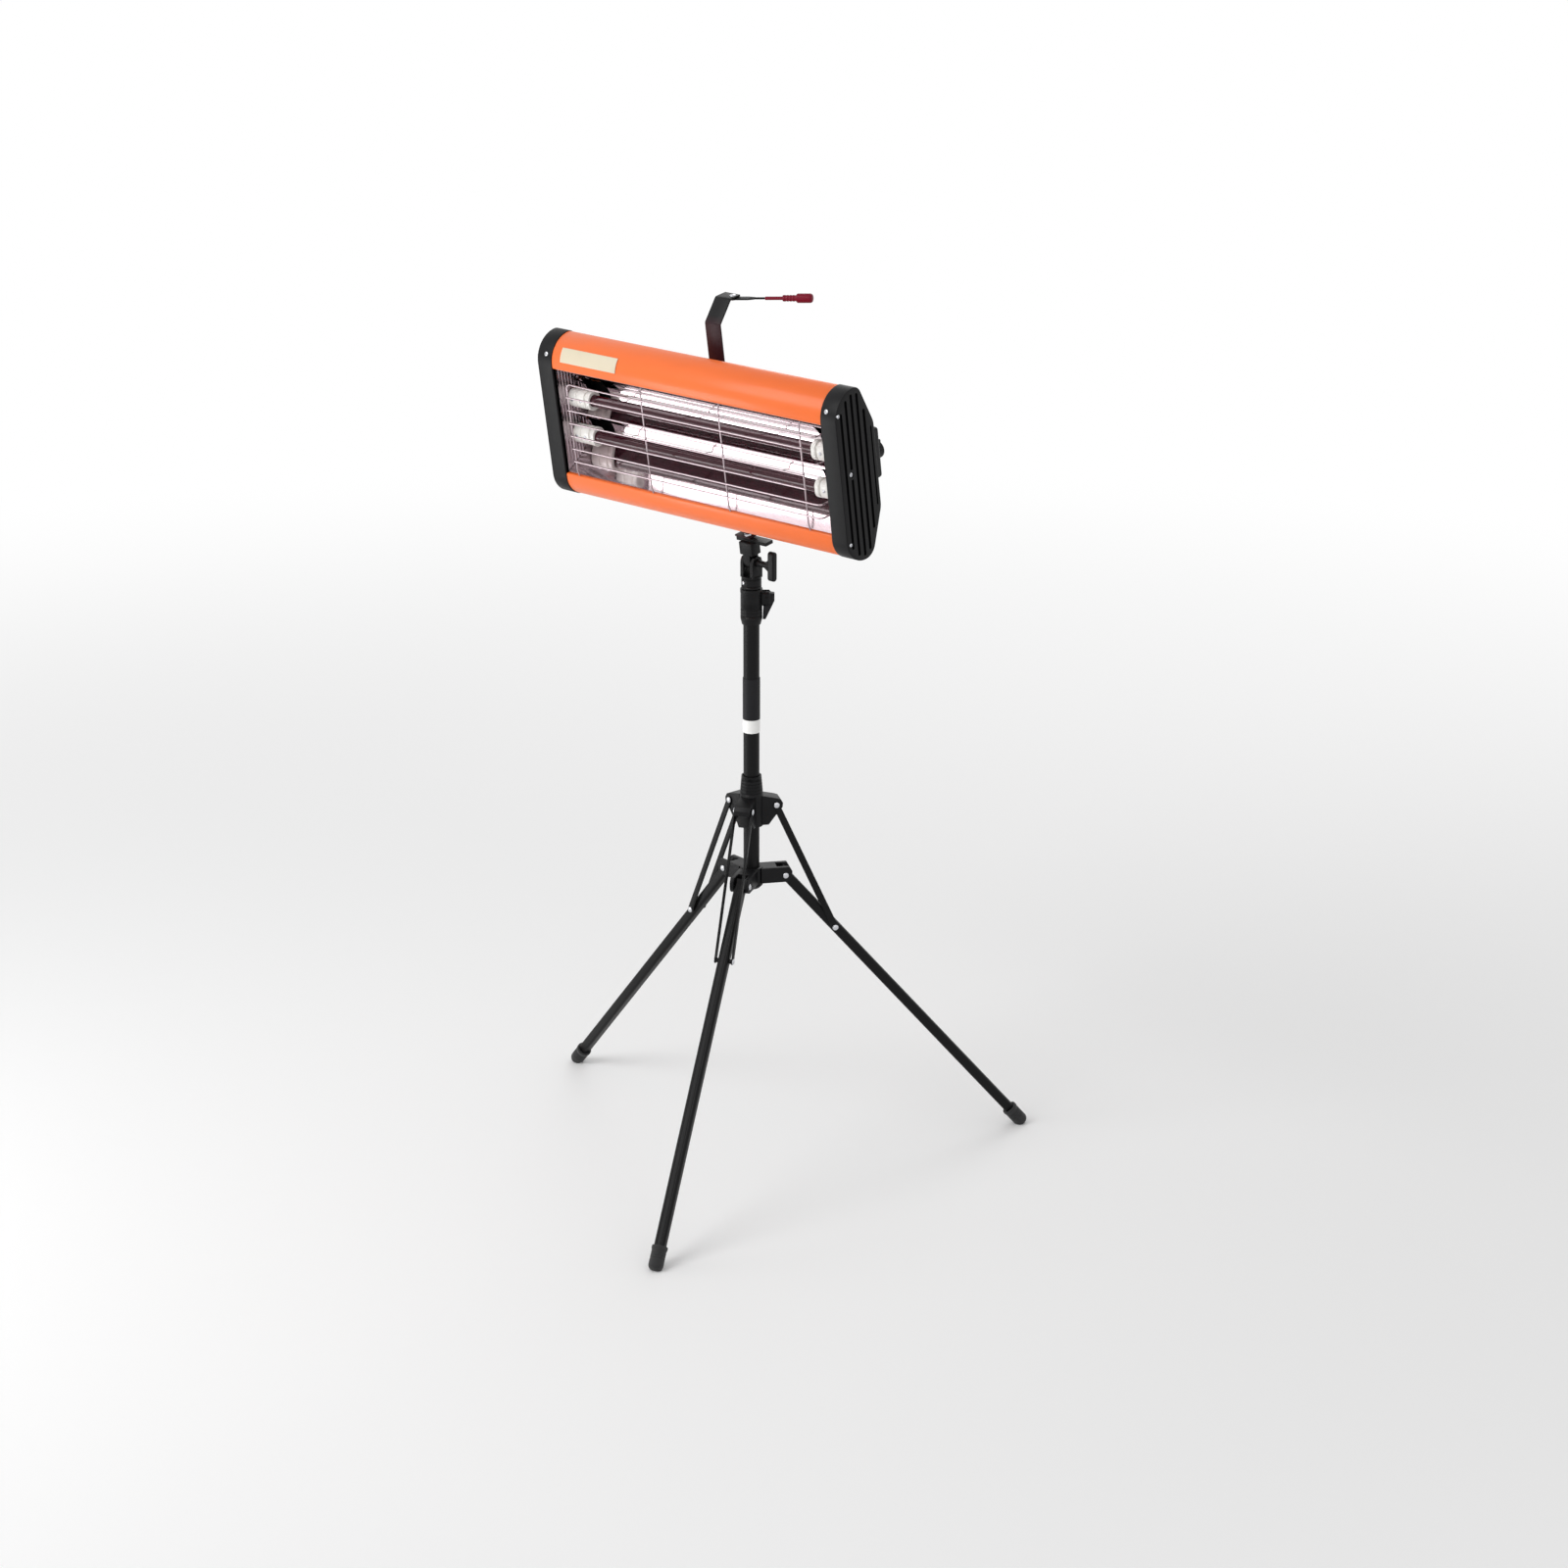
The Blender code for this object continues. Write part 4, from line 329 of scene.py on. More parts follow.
def ruby_quartz(colours):
    """Ruby-coated quartz glass: polished, dark red, with clouds of about 9 mm that pass some light."""
    tint = tuple(colours.ruby)
    glass = {"IOR": 1.46, "Transmission Weight": 0.55}
    material, tree, shader = surface("ruby_quartz_glass", tint, 0.05, sockets=glass)
    clouds = {"Vector": place_of(tree, (0.15, 1, 1)), "Scale": per(9 * MM), "Detail": 2.0}
    drift = add_node(tree, "ShaderNodeTexNoise", inputs=clouds)
    tinted(tree, shader, drift.outputs["Fac"], tint, 0.25)
    return material


def resistance_wire(colours):
    """Drawn resistance alloy: dull warm grey with an oxide bloom of about 3 mm."""
    tint = linear("8C7A74")
    material, tree, shader = surface("resistance_wire", tint, 0.4, 1.0)
    tinted(tree, shader, broad(tree, 3 * MM), tint, 0.3)
    return material


def white_ceramic(colours):
    """Glazed steatite: white under a thin glaze, with specks and pits of about 1.5 mm."""
    tint = tuple(colours.ceramic)
    glaze = {"IOR": 1.55, "Coat Weight": 0.4, "Coat Roughness": 0.12}
    material, tree, shader = surface("glazed_steatite", tint, 0.3, sockets=glaze)
    grain = textured(tree, shader, 1.5 * MM, 0.04 * MM, detail=4.0)
    varied(tree, shader, "Roughness", grain, 0.25, 0.42)
    tinted(tree, shader, broad(tree, 12 * MM), tint, 0.05)
    return material


def zinc_steel(colours):
    """Zinc-plated steel: bright, with turning marks of about 0.6 mm."""
    tint = tuple(colours.steel)
    material, tree, shader = surface("bright_zinc_steel", tint, 0.24, 1.0)
    grain = textured(tree, shader, 0.6 * MM, 0.015 * MM)
    varied(tree, shader, "Roughness", grain, 0.18, 0.32)
    tinted(tree, shader, broad(tree, 5 * MM), tint, 0.08)
    return material


def foot_rubber(colours):
    """Black moulded rubber: dull, with a dusty bloom of about 4 mm."""
    tint = linear("19191A")
    material, tree, shader = surface("black_rubber", tint, 0.78, sockets={"IOR": 1.5, "Sheen Weight": 0.15})
    textured(tree, shader, 1.0 * MM, 0.06 * MM, detail=4.0)
    tinted(tree, shader, broad(tree, 4 * MM), tint, 0.3)
    return material


def satin_plate(colours):
    """Bare polyester plate: satin cream film with a slight waviness of about 15 mm."""
    tint = tuple(colours.cream)
    material, tree, shader = surface("cream_polyester_film", tint, 0.45, sockets={"IOR": 1.57})
    textured(tree, shader, 15 * MM, 0.1 * MM)
    tinted(tree, shader, broad(tree, 25 * MM), tint, 0.03)
    return material


def white_band_plastic(colours):
    """White polyethylene band: waxy, with faint scuffs of about 2 mm."""
    tint = linear("F6F6F4")
    material, tree, shader = surface("white_polyethylene", tint, 0.4, sockets={"IOR": 1.51})
    grain = textured(tree, shader, 2 * MM, 0.03 * MM)
    varied(tree, shader, "Roughness", grain, 0.34, 0.5)
    return material


# Each look: its slot in the part's record, and what builds its material
FINISHES = {
    "orange": ("orange_paint", orange_enamel),
    "coat": ("black_paint", black_powder_coat),
    "strap_coat": ("black_paint", coat_with_painted_reflection),
    "black": ("black_plastic", lambda c: moulded_plastic("black_glass_filled_nylon", c.black_plastic, 0.42)),
    "grey": ("grey_plastic", lambda c: moulded_plastic("dark_grey_nylon", c.grey_plastic, 0.48)),
    "crimson": ("crimson_plastic", lambda c: moulded_plastic("crimson_vinyl", c.crimson, 0.34)),
    "chrome": ("chromed_wire", chromed_wire),
    "flutes": ("polished_aluminium", fluted_sheet),
    "mirror": ("polished_aluminium", polished_sheet),
    "ruby": ("ruby_quartz", ruby_quartz),
    "coil": ("steel", resistance_wire),
    "ceramic": ("white_ceramic", white_ceramic),
    "steel": ("steel", zinc_steel),
    "rubber": ("rubber", foot_rubber),
    "cream": ("cream_plastic", satin_plate),
    "white": ("white_plastic", white_band_plastic),
}
MADE_FINISHES = {}


def finish(name):
    """The material of this finish, made once."""
    if name not in MADE_FINISHES:
        MADE_FINISHES[name] = FINISHES[name][1](bpy.context.scene.lamp_finishes)
    return MADE_FINISHES[name]


# Modelling steps


def alone(obj):
    """Select this object and no other."""
    bpy.ops.object.select_all(action="DESELECT")
    obj.select_set(True)
    bpy.context.view_layer.objects.active = obj
    return obj


def edited(obj, *steps):
    """Go through these steps in edit mode with everything selected before each."""
    alone(obj)
    bpy.ops.object.mode_set(mode="EDIT")
    for step in steps:
        bpy.ops.mesh.select_all(action="SELECT")
        step()
    bpy.ops.object.mode_set(mode="OBJECT")
    return obj


def weld():
    """Merge the doubles of the mesh in edit mode."""
    bpy.ops.mesh.remove_doubles(threshold=0.004 * MM)


def face_outwards():
    """Turn all faces of the mesh in edit mode outwards."""
    bpy.ops.mesh.normals_make_consistent(inside=False)


def drawn(name, points):
    """A line of edges, started from one vertex and extruded from point to point."""
    bpy.ops.object.select_all(action="DESELECT")
    bpy.ops.mesh.primitive_plane_add(size=MM)
    obj = bpy.context.active_object
    obj.name = obj.data.name = name
    bpy.ops.object.mode_set(mode="EDIT")
    bpy.ops.mesh.select_all(action="SELECT")
    bpy.ops.mesh.merge(type="CENTER")
    bpy.ops.transform.translate(value=points[0])
    for here, there in zip(points, points[1:]):
        step = [b - a for a, b in zip(here, there)]
        bpy.ops.mesh.extrude_region_move(TRANSFORM_OT_translate={"value": step})
    bpy.ops.object.mode_set(mode="OBJECT")
    return obj


def turned(name, profile, steps=48):
    """A body spun about Z from (radius, height) points."""
    obj = drawn(name, [(radius, 0, height) for radius, height in profile])
    return edited(
        obj,
        lambda: bpy.ops.mesh.spin(steps=steps, angle=2 * math.pi, center=(0, 0, 0), axis=(0, 0, 1)),
        weld,
        face_outwards,
    )


def prism(name, outline, thickness):
    """A flat outline in XY, filled and extruded evenly to both sides."""
    obj = drawn(name, [(x, y, -thickness / 2) for x, y in outline])
    return edited(
        obj,
        bpy.ops.mesh.edge_face_add,
        lambda: bpy.ops.mesh.extrude_region_move(TRANSFORM_OT_translate={"value": (0, 0, thickness)}),
        face_outwards,
    )


def block(name, size, centre=(0, 0, 0)):
    """A block of this size around its centre."""
    bpy.ops.object.select_all(action="DESELECT")
    bpy.ops.mesh.primitive_cube_add(size=1, location=centre)
    obj = bpy.context.active_object
    obj.name = obj.data.name = name
    obj.scale = size
    bpy.ops.object.transform_apply(location=True, rotation=True, scale=True)
    return obj


def rod(name, radius, low, high, steps=32):
    """A cylinder along Z between two heights."""
    bpy.ops.object.select_all(action="DESELECT")
    bpy.ops.mesh.primitive_cylinder_add(
        vertices=steps, radius=radius, depth=high - low, location=(0, 0, (low + high) / 2)
    )
    obj = bpy.context.active_object
    obj.name = obj.data.name = name
    bpy.ops.object.transform_apply(location=True, rotation=True, scale=True)
    return obj


def tube(name, outer, inner, low, high, chamfer=0.3 * MM, steps=64):
    """A tube with open ends and eased rims."""
    profile = [
        (outer - chamfer, high),
        (outer, high - chamfer),
        (outer, low + chamfer),
        (outer - chamfer, low),
        (inner, low),
        (inner, high),
        (outer - chamfer, high),
    ]
    return turned(name, profile, steps)


def wire(name, points, radius, resolution=3):
    """A round wire along these points."""
    obj = alone(drawn(name, points))
    bpy.ops.object.convert(target="CURVE")
    obj = bpy.context.active_object
    obj.data.bevel_depth = radius
    obj.data.bevel_resolution = resolution
    obj.data.use_fill_caps = True
    bpy.ops.object.convert(target="MESH")
    return edited(bpy.context.active_object, weld, face_outwards)


def bent_sheet(name, path, wall, width):
    """Sheet metal along a path in XY, its wall to the left of the path, as wide as this in Z."""
    inner = []
    for i, here in enumerate(path):
        before = path[max(i - 1, 0)]
        after = path[min(i + 1, len(path) - 1)]
        first = (Vector(here) - Vector(before)).normalized() if i else None
        second = (Vector(after) - Vector(here)).normalized() if i < len(path) - 1 else None
        first = first or second
        second = second or first
        left = Vector((-first.y, first.x)) + Vector((-second.y, second.x))
        inner.append(tuple(Vector(here) + left * wall / (1 + first.dot(second))))
    return prism(name, path + inner[::-1], width)


def arc(centre, radius, start, end, steps=8):
    """Points along an arc, with both its ends."""
    turns = [start + (end - start) * i / steps for i in range(steps + 1)]
    return [(centre[0] + radius * math.cos(t), centre[1] + radius * math.sin(t)) for t in turns]


def fillet(before, corner, after, radius, steps=8):
    """Points of the arc that rounds one corner."""
    corner = Vector(corner)
    first = (Vector(before) - corner).normalized()
    second = (Vector(after) - corner).normalized()
    half = first.angle(second) / 2
    centre = corner + (first + second).normalized() * radius / math.sin(half)
    start = corner + first * radius / math.tan(half) - centre
    turn = start.angle_signed(corner + second * radius / math.tan(half) - centre)
    return [tuple(centre + Matrix.Rotation(-turn * i / steps, 2) @ start) for i in range(steps + 1)]


def rounded_box(width, height, radius, steps=4):
    """A rectangle's outline with round corners."""
    x, y = width / 2 - radius, height / 2 - radius
    points = []
    for i, corner in enumerate(((x, y), (-x, y), (-x, -y), (x, -y))):
        points += arc(corner, radius, i * QUARTER, (i + 1) * QUARTER, steps)
    return points


def slot(half_length, radius, centre=(0, 0), steps=8):
    """A slot's outline with round ends, long in Y."""
    x, y = centre
    top = arc((x, y + half_length - radius), radius, 0, math.pi, steps)
    return top + arc((x, y - half_length + radius), radius, math.pi, 2 * math.pi, steps)


def applied(obj, kind, **settings):
    """Add a modifier with these settings and apply it."""
    modifier = obj.modifiers.new(kind.lower(), kind)
    for name, value in settings.items():
        setattr(modifier, name, value)
    alone(obj)
    bpy.ops.object.modifier_apply(modifier=modifier.name)
    return obj


def eased(obj, width, segments=2, angle=40):
    """Round the edges that are sharper than this angle."""
    return applied(
        obj,
        "BEVEL",
        width=width,
        segments=segments,
        limit_method="ANGLE",
        angle_limit=math.radians(angle),
        use_clamp_overlap=True,
    )


def spot(parent, place=(0, 0, 0), turn=(0, 0, 0)):
    """The frame at this place and turn in its parent frame."""
    return parent @ Matrix.Translation(place) @ Euler(turn).to_matrix().to_4x4()


def put(obj, where):
    """Move the mesh itself to this frame."""
    obj.matrix_world = where
    alone(obj)
    bpy.ops.object.transform_apply(location=True, rotation=True, scale=True)
    return obj


def cut(obj, *others):
    """Cut other bodies out of this one."""
    for other in others:
        applied(obj, "BOOLEAN", operation="DIFFERENCE", object=other, solver="EXACT")
        bpy.data.objects.remove(other, do_unlink=True)
    return obj


def fused(obj, *others):
    """Make other bodies part of this one."""
    for other in others:
        applied(obj, "BOOLEAN", operation="UNION", object=other, solver="EXACT")
        bpy.data.objects.remove(other, do_unlink=True)
    return obj


def gathered(obj, *others):
    """Join other meshes to this one as they are."""
    alone(obj)
    for other in others:
        other.select_set(True)
    bpy.ops.object.join()
    return obj


def copies(model, count):
    """This piece and copies of it, each with its own mesh."""
    pieces = [model]
    while len(pieces) < count:
        alone(model)
        bpy.ops.object.duplicate()
        pieces.append(bpy.context.active_object)
    return pieces


def dressed(node, name, width, segments=2, angle=36):
    """A copy of a frame node with welded faces and eased edges."""
    source = frame["nodes"][node]
    alone(source)
    bpy.ops.object.duplicate()
    twin = bpy.context.active_object
    twin.name = twin.data.name = name
    world = twin.matrix_world.copy()
    twin.parent = None
    twin.matrix_world = world
    twin.data.materials.clear()
    edited(
        twin,
        weld,
        lambda: bpy.ops.mesh.dissolve_limited(angle_limit=math.radians(0.5)),
        face_outwards,
    )
    return eased(twin, width, segments, angle)


def seated(obj, look, body, nodes=(), angle=38):
    """Finish a piece: smooth its round faces, set its material and body, hide what it replaces."""
    alone(obj)
    obj.data.materials.clear()
    obj.data.materials.append(finish(look))
    bpy.ops.object.shade_smooth_by_angle(angle=math.radians(angle))
    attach(obj, body)
    if nodes:
        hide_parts(*nodes)
    return obj


# Frames of the moving pieces, from the joints


def at_joint(name):
    """The frame at a joint, level with the floor."""
    return Matrix.Translation(JOINTS[name]["pos_m"])


def stand_frame():
    """The frame on the floor under the column."""
    x, y = JOINTS["head_pan"]["pos_m"][:2]
    return Matrix.Translation((x, y, 0))


def azimuth(name):
    """The way a leg points, from its joint's axis."""
    x, y = JOINTS[name + "_leg_fold"]["axis"][:2]
    return math.atan2(x, -y)


def bay(joint, name):
    """The frame at a leg's or a brace's pivot, with X outwards."""
    return spot(at_joint(f"{name}_{joint}"), turn=(0, 0, azimuth(name)))


def head_lean():
    """How far the head leans back at rest."""
    y, z = JOINTS["arm_swing"]["axis"][1:]
    return math.atan2(-y, z)


def tilt_frame():
    """The frame at the tilt joint, leaning with the head."""
    return spot(at_joint("head_tilt"), turn=(head_lean(), 0, 0))


def head_frame():
    """The frame in the middle of the head's window, X along the tubes and Y to the back."""
    return spot(tilt_frame(), HEAD_PLACE)


def end_face(sizes):
    """How far an end plate of the reflector stands from the head's middle."""
    return sizes.width / 2 - 2 * sizes.gap - 1 * MM


def section(sizes, inset):
    """The arcs at the corners of the head's section, front top first, drawn in by this much."""
    corners = [
        (0, sizes.top, sizes.crown),
        (sizes.shoulder, sizes.top, 15 * MM),
        (sizes.depth, sizes.back_high, 30 * MM),
        (sizes.depth, -sizes.back_low, 30 * MM),
        (sizes.shoulder, -sizes.bottom, 22 * MM),
        (0, -sizes.bottom, 36 * MM),
    ]
    moved = []
    for i, (y, z, radius) in enumerate(corners):
        here = Vector((y, z))
        before = (here - Vector(corners[i - 1][:2])).normalized()
        after = (Vector(corners[(i + 1) % 6][:2]) - here).normalized()
        inward = Vector((before.y, -before.x)) + Vector((after.y, -after.x))
        place = here + inward * inset / (1 + before.dot(after))
        moved.append((place, radius - inset))
    arcs = []
    for i, (place, radius) in enumerate(moved):
        steps = 14 if radius > 18 * MM else 8
        arcs.append(fillet(moved[i - 1][0], place, moved[(i + 1) % 6][0], radius, steps))
    return arcs


def heights_at(outline, depth):
    """The lowest and the highest point of a section's outline at this depth."""
    crossings = []
    for (y, z), (next_y, next_z) in zip(outline, outline[1:] + outline[:1]):
        if (y - depth) * (next_y - depth) < 0:
            crossings.append(z + (next_z - z) * (depth - y) / (next_y - y))
    return min(crossings), max(crossings)


def cross_screw(name, radius, height):
    """A pan-head screw's head along Z, standing on z = 0, with a cross recess."""
    crown, rim = radius * 0.45, height * 0.3
    quarter = arc((0, 0), 1, QUARTER, 0, 6)
    bulge = [(crown + (radius - crown) * x, rim + (height - rim) * y) for x, y in quarter]
    head = turned(name, [(0, height), *bulge, (radius, 0), (0, 0)], 32)
    for turn in (0, QUARTER):
        cross = block("cross", (radius * 1.1, radius * 0.26, height), (0, 0, height))
        cut(head, put(cross, Euler((0, 0, turn)).to_matrix().to_4x4()))
    return head


def screwed(name, radius, height, frames):
    """Equal screws at these frames on the head, joined to one piece."""
    screws = copies(cross_screw("screw", radius, height), len(frames))
    for screw, where in zip(screws, frames):
        put(screw, where)
    seated(gathered(*screws), "steel", "head").name = name


def domed(radius, height, base=0):
    """Points of a rivet head's dome, from its top to its rim."""
    dome = [(r, base + z * height / radius) for r, z in arc((0, 0), radius, QUARTER, 0, 8)]
    return [(0, dome[0][1]), *dome[1:]]


def notched(obj, count, radius, ring, low, high, shift=0):
    """Cut upright notches all round a body along Z."""
    for i in range(count):
        turn = 2 * math.pi * (i + shift) / count
        notch = rod("notch", radius, low, high, 8)
        cut(obj, put(notch, Matrix.Translation((ring * math.cos(turn), ring * math.sin(turn), 0))))


def domed_rivet(name, radius, height, reach):
    """A rivet along Z with a domed head at each end of its shank."""
    half = reach / 2
    dome = domed(radius, height, half)
    shank = [(radius * 0.55, half), (radius * 0.55, -half)]
    return turned(name, dome + shank + [(r, -z) for r, z in dome[::-1]], 32)


# Operators, one for each piece or group of pieces


class LAMP_OT_shells(Operator):
    """Bend the orange upper and lower shells"""

    bl_idname = "curing_lamp.shells"
    bl_label = "Orange shells"

    def execute(self, context):
        sizes = context.scene.lamp_head
        head = head_frame()
        arcs = section(sizes, 0)
        roll = 2.4 * MM
        over = [point for part in arcs[:3][::-1] for point in part[::-1]]
        under = [point for part in arcs[3:][::-1] for point in part[::-1]]
        high, low = (0, sizes.window), (0, -sizes.window)
        upper = [(sizes.depth, sizes.seam), *over]
        upper += fillet(over[-1], high, (sizes.lip, sizes.window), roll, 4) + [(sizes.lip, sizes.window)]
        lower = [(sizes.lip, -sizes.window)] + fillet((sizes.lip, -sizes.window), low, under[0], roll, 4)
        lower += [*under, (sizes.depth, -sizes.seam)]
        for name, path in (("upper_shell", upper), ("lower_shell", lower)):
            shell = bent_sheet("orange_" + name, path, sizes.wall, sizes.width)
            put(eased(shell, 0.35 * MM, 2, 60), spot(head, turn=ACROSS_X))
            seated(shell, "orange", "head", [name])
        return {"FINISHED"}


class LAMP_OT_bare_plate(Operator):
    """Lay the bare cream plate on the upper shell"""

    bl_idname = "curing_lamp.bare_plate"
    bl_label = "Bare plate"

    def execute(self, context):
        sizes = context.scene.lamp_head
        wall, width, from_cap = mm(0.8, 116, 18)
        low, high = math.radians(12), math.radians(43)
        centre = (sizes.crown, sizes.top - sizes.crown)
        path = arc(centre, sizes.crown + sizes.gap + wall, math.pi - high, math.pi - low, 16)
        plate = bent_sheet("cream_plate", path, wall, width)
        eased(plate, 0.3 * MM, 2, 60)
        middle = from_cap + (width - sizes.width) / 2
        put(plate, spot(head_frame(), (middle, 0, 0), ACROSS_X))
        seated(plate, "cream", "head", ["bare_plate"])
        return {"FINISHED"}


class LAMP_OT_back_panel(Operator):
    """Pierce the back panel with its vent slots and screw it down"""

    bl_idname = "curing_lamp.back_panel"
    bl_label = "Back panel"

    def execute(self, context):
        sizes = context.scene.lamp_head
        head = head_frame()
        half = sizes.seam - sizes.gap
        panel = prism("vented_back_panel", rounded_box(sizes.width, 2 * half, 1 * MM, 2), sizes.wall)
        vents, (pitch, half_length, radius, through) = 11, mm(30, 24, 3, 4)
        vent = prism("vent", slot(half_length, radius, ((1 - vents) / 2 * pitch, 0)), through)
        row = {"use_relative_offset": False, "use_constant_offset": True}
        applied(vent, "ARRAY", count=vents, constant_offset_displace=(pitch, 0, 0), **row)
        eased(cut(panel, vent), 0.3 * MM, 2, 60)
        put(panel, spot(head, (0, sizes.depth - sizes.wall / 2, 0), ACROSS_Y))
        seated(panel, "coat", "head", ["back_panel"])
        places = [(x, sizes.depth, z) for x in mm(-255, -90, 90, 180) for z in mm(-34, 34)]
        screwed("panel_screws", *mm(3, 1.4), [spot(head, place, ALONG_Y) for place in places])
        return {"FINISHED"}


class LAMP_OT_end_caps(Operator):
    """Mould the ribbed end caps and fit their screws"""

    bl_idname = "curing_lamp.end_caps"
    bl_label = "End caps"
    middle_screw = mm(22, 7)

    def execute(self, context):
        sizes = context.scene.lamp_head
        head = head_frame()
        proud, wall, face, margin = mm(1, 3, 7, 4)
        outline = [point for part in section(sizes, -proud) for point in part]
        inside = [point for part in section(sizes, wall - proud) for point in part]
        inner = sizes.width / 2 + sizes.gap
        outer = inner + sizes.cap
        depth = sizes.cap - face + margin
        for side, way in (("left", -1), ("right", 1)):
            cap = eased(prism("end_cap", outline, sizes.cap), 2.5 * MM, 4, 50)
            put(cap, spot(Matrix(), (way * (inner + outer) / 2, 0, 0), ACROSS_X))
            pocket = prism("pocket", inside, depth)
            put(pocket, spot(Matrix(), (way * (inner - margin + depth / 2), 0, 0), ACROSS_X))
            cut(cap, pocket, *self.channels(sizes, way * outer))
            recess = rod("recess", 4.3 * MM, -3 * MM, 3 * MM)
            cut(cap, put(recess, spot(Matrix(), (way * outer, *self.middle_screw), ALONG_X)))
            eased(cap, 0.8 * MM, 3, 50)
            seated(put(cap, head), "black", "head", ["end_cap_" + side], 30).name = "ribbed_end_cap_" + side
            screws = []
            places = (self.middle_screw, mm(4.5, 101), mm(5.5, -95))
            for (y, z), radius, sink in zip(places, mm(4, 2.8, 2.8), mm(2.7, 0.4, 0.4)):
                screw = cross_screw("cap_screw", radius, 2 * MM)
                screws.append(put(screw, spot(head, (way * (outer - sink), y, z), (0, way * QUARTER, 0))))
            front_screw = cross_screw("cap_screw", 3.6 * MM, 2 * MM)
            slope = math.radians(66.7)
            place = (way * (inner + 11 * MM), *mm(2.6, 106))
            screws.append(put(front_screw, spot(head, place, (slope, 0, 0))))
            seated(gathered(*screws), "steel", "head", ["cap_screw_" + side]).name = "cap_screws_" + side
        return {"FINISHED"}

    def channels(self, sizes, x):
        """The cutters of the six grooves in a cap's side, one of them broken by the middle screw's boss."""
        half, depth, pitch, first, margin = mm(2.7, 3, 12.2, 10.5, 5)
        inset = [point for part in section(sizes, margin) for point in part]
        cutters = []
        for i in range(6):
            back = first + i * pitch
            radius = min(half, sizes.depth - margin - back)
            ends = [heights_at(inset, back + side * radius * 0.98) for side in (-1, 1)]
            low, high = max(end[0] for end in ends), min(end[1] for end in ends)
            channel = prism("channel", slot((high - low) / 2, radius, (0, 0), 6), 2 * depth)
            put(channel, spot(Matrix(), (x, back, (high + low) / 2), ACROSS_X))
            if i == 1:
                boss = rod("boss", 7.5 * MM, -8 * MM, 8 * MM)
                cut(channel, put(boss, spot(Matrix(), (x, *self.middle_screw), ALONG_X)))
            cutters.append(channel)
        return cutters


class LAMP_OT_reflector(Operator):
    """Roll the double reflector and fit its end plates"""

    bl_idname = "curing_lamp.reflector"
    bl_label = "Reflector"

    def execute(self, context):
        sizes, heat = context.scene.lamp_head, context.scene.lamp_heater
        head = head_frame()
        sheet = 1 * MM
        half = sizes.window - sizes.gap - sheet
        centre = heat.spacing / 2
        curve = (heat.trough - heat.mouth) / (half - centre) ** 2
        heights = [half * (1 - i / 28) for i in range(29)]
        upper = [(heat.trough - curve * (height - centre) ** 2, height) for height in heights]
        path = upper + [(y, -z) for y, z in upper[-2::-1]]
        face = end_face(sizes)
        trough = bent_sheet("double_reflector", path, sheet, 2 * (face - sizes.gap))
        put(trough, spot(Matrix(), turn=ACROSS_X))
        wide, deep, aside, behind = mm(49, 60, 238.5, 45)
        for way in (-1, 1):
            for low, high in (mm(-44, -9), mm(12, 60)):
                opening = block("opening", (wide, deep, high - low), (way * aside, behind, (low + high) / 2))
                cut(trough, opening)
        seated(put(trough, head), "mirror", "head", ["reflector"], 20)
        pitch, ridge, wall, count = *mm(6, 0.7, 0.3), 9
        first = heat.mouth + 1 * MM
        wave = [(first + i * pitch / 2, ridge if i % 2 else 0) for i in range(2 * count + 1)]
        rounds = []
        for before, corner, after in zip(wave, wave[1:], wave[2:]):
            rounds += fillet(before, corner, after, 1.2 * MM, 3)
        for side, way, flip in (("left", -1, 0), ("right", 1, math.pi)):
            end = bent_sheet("end_reflector", [wave[0], *rounds, wave[-1]], wall, 2 * half)
            put(end, spot(head, (way * face, 0, 0), (flip, 0, QUARTER)))
            seated(end, "flutes", "head", ["end_reflector_" + side], 50).name = "fluted_end_" + side
        return {"FINISHED"}


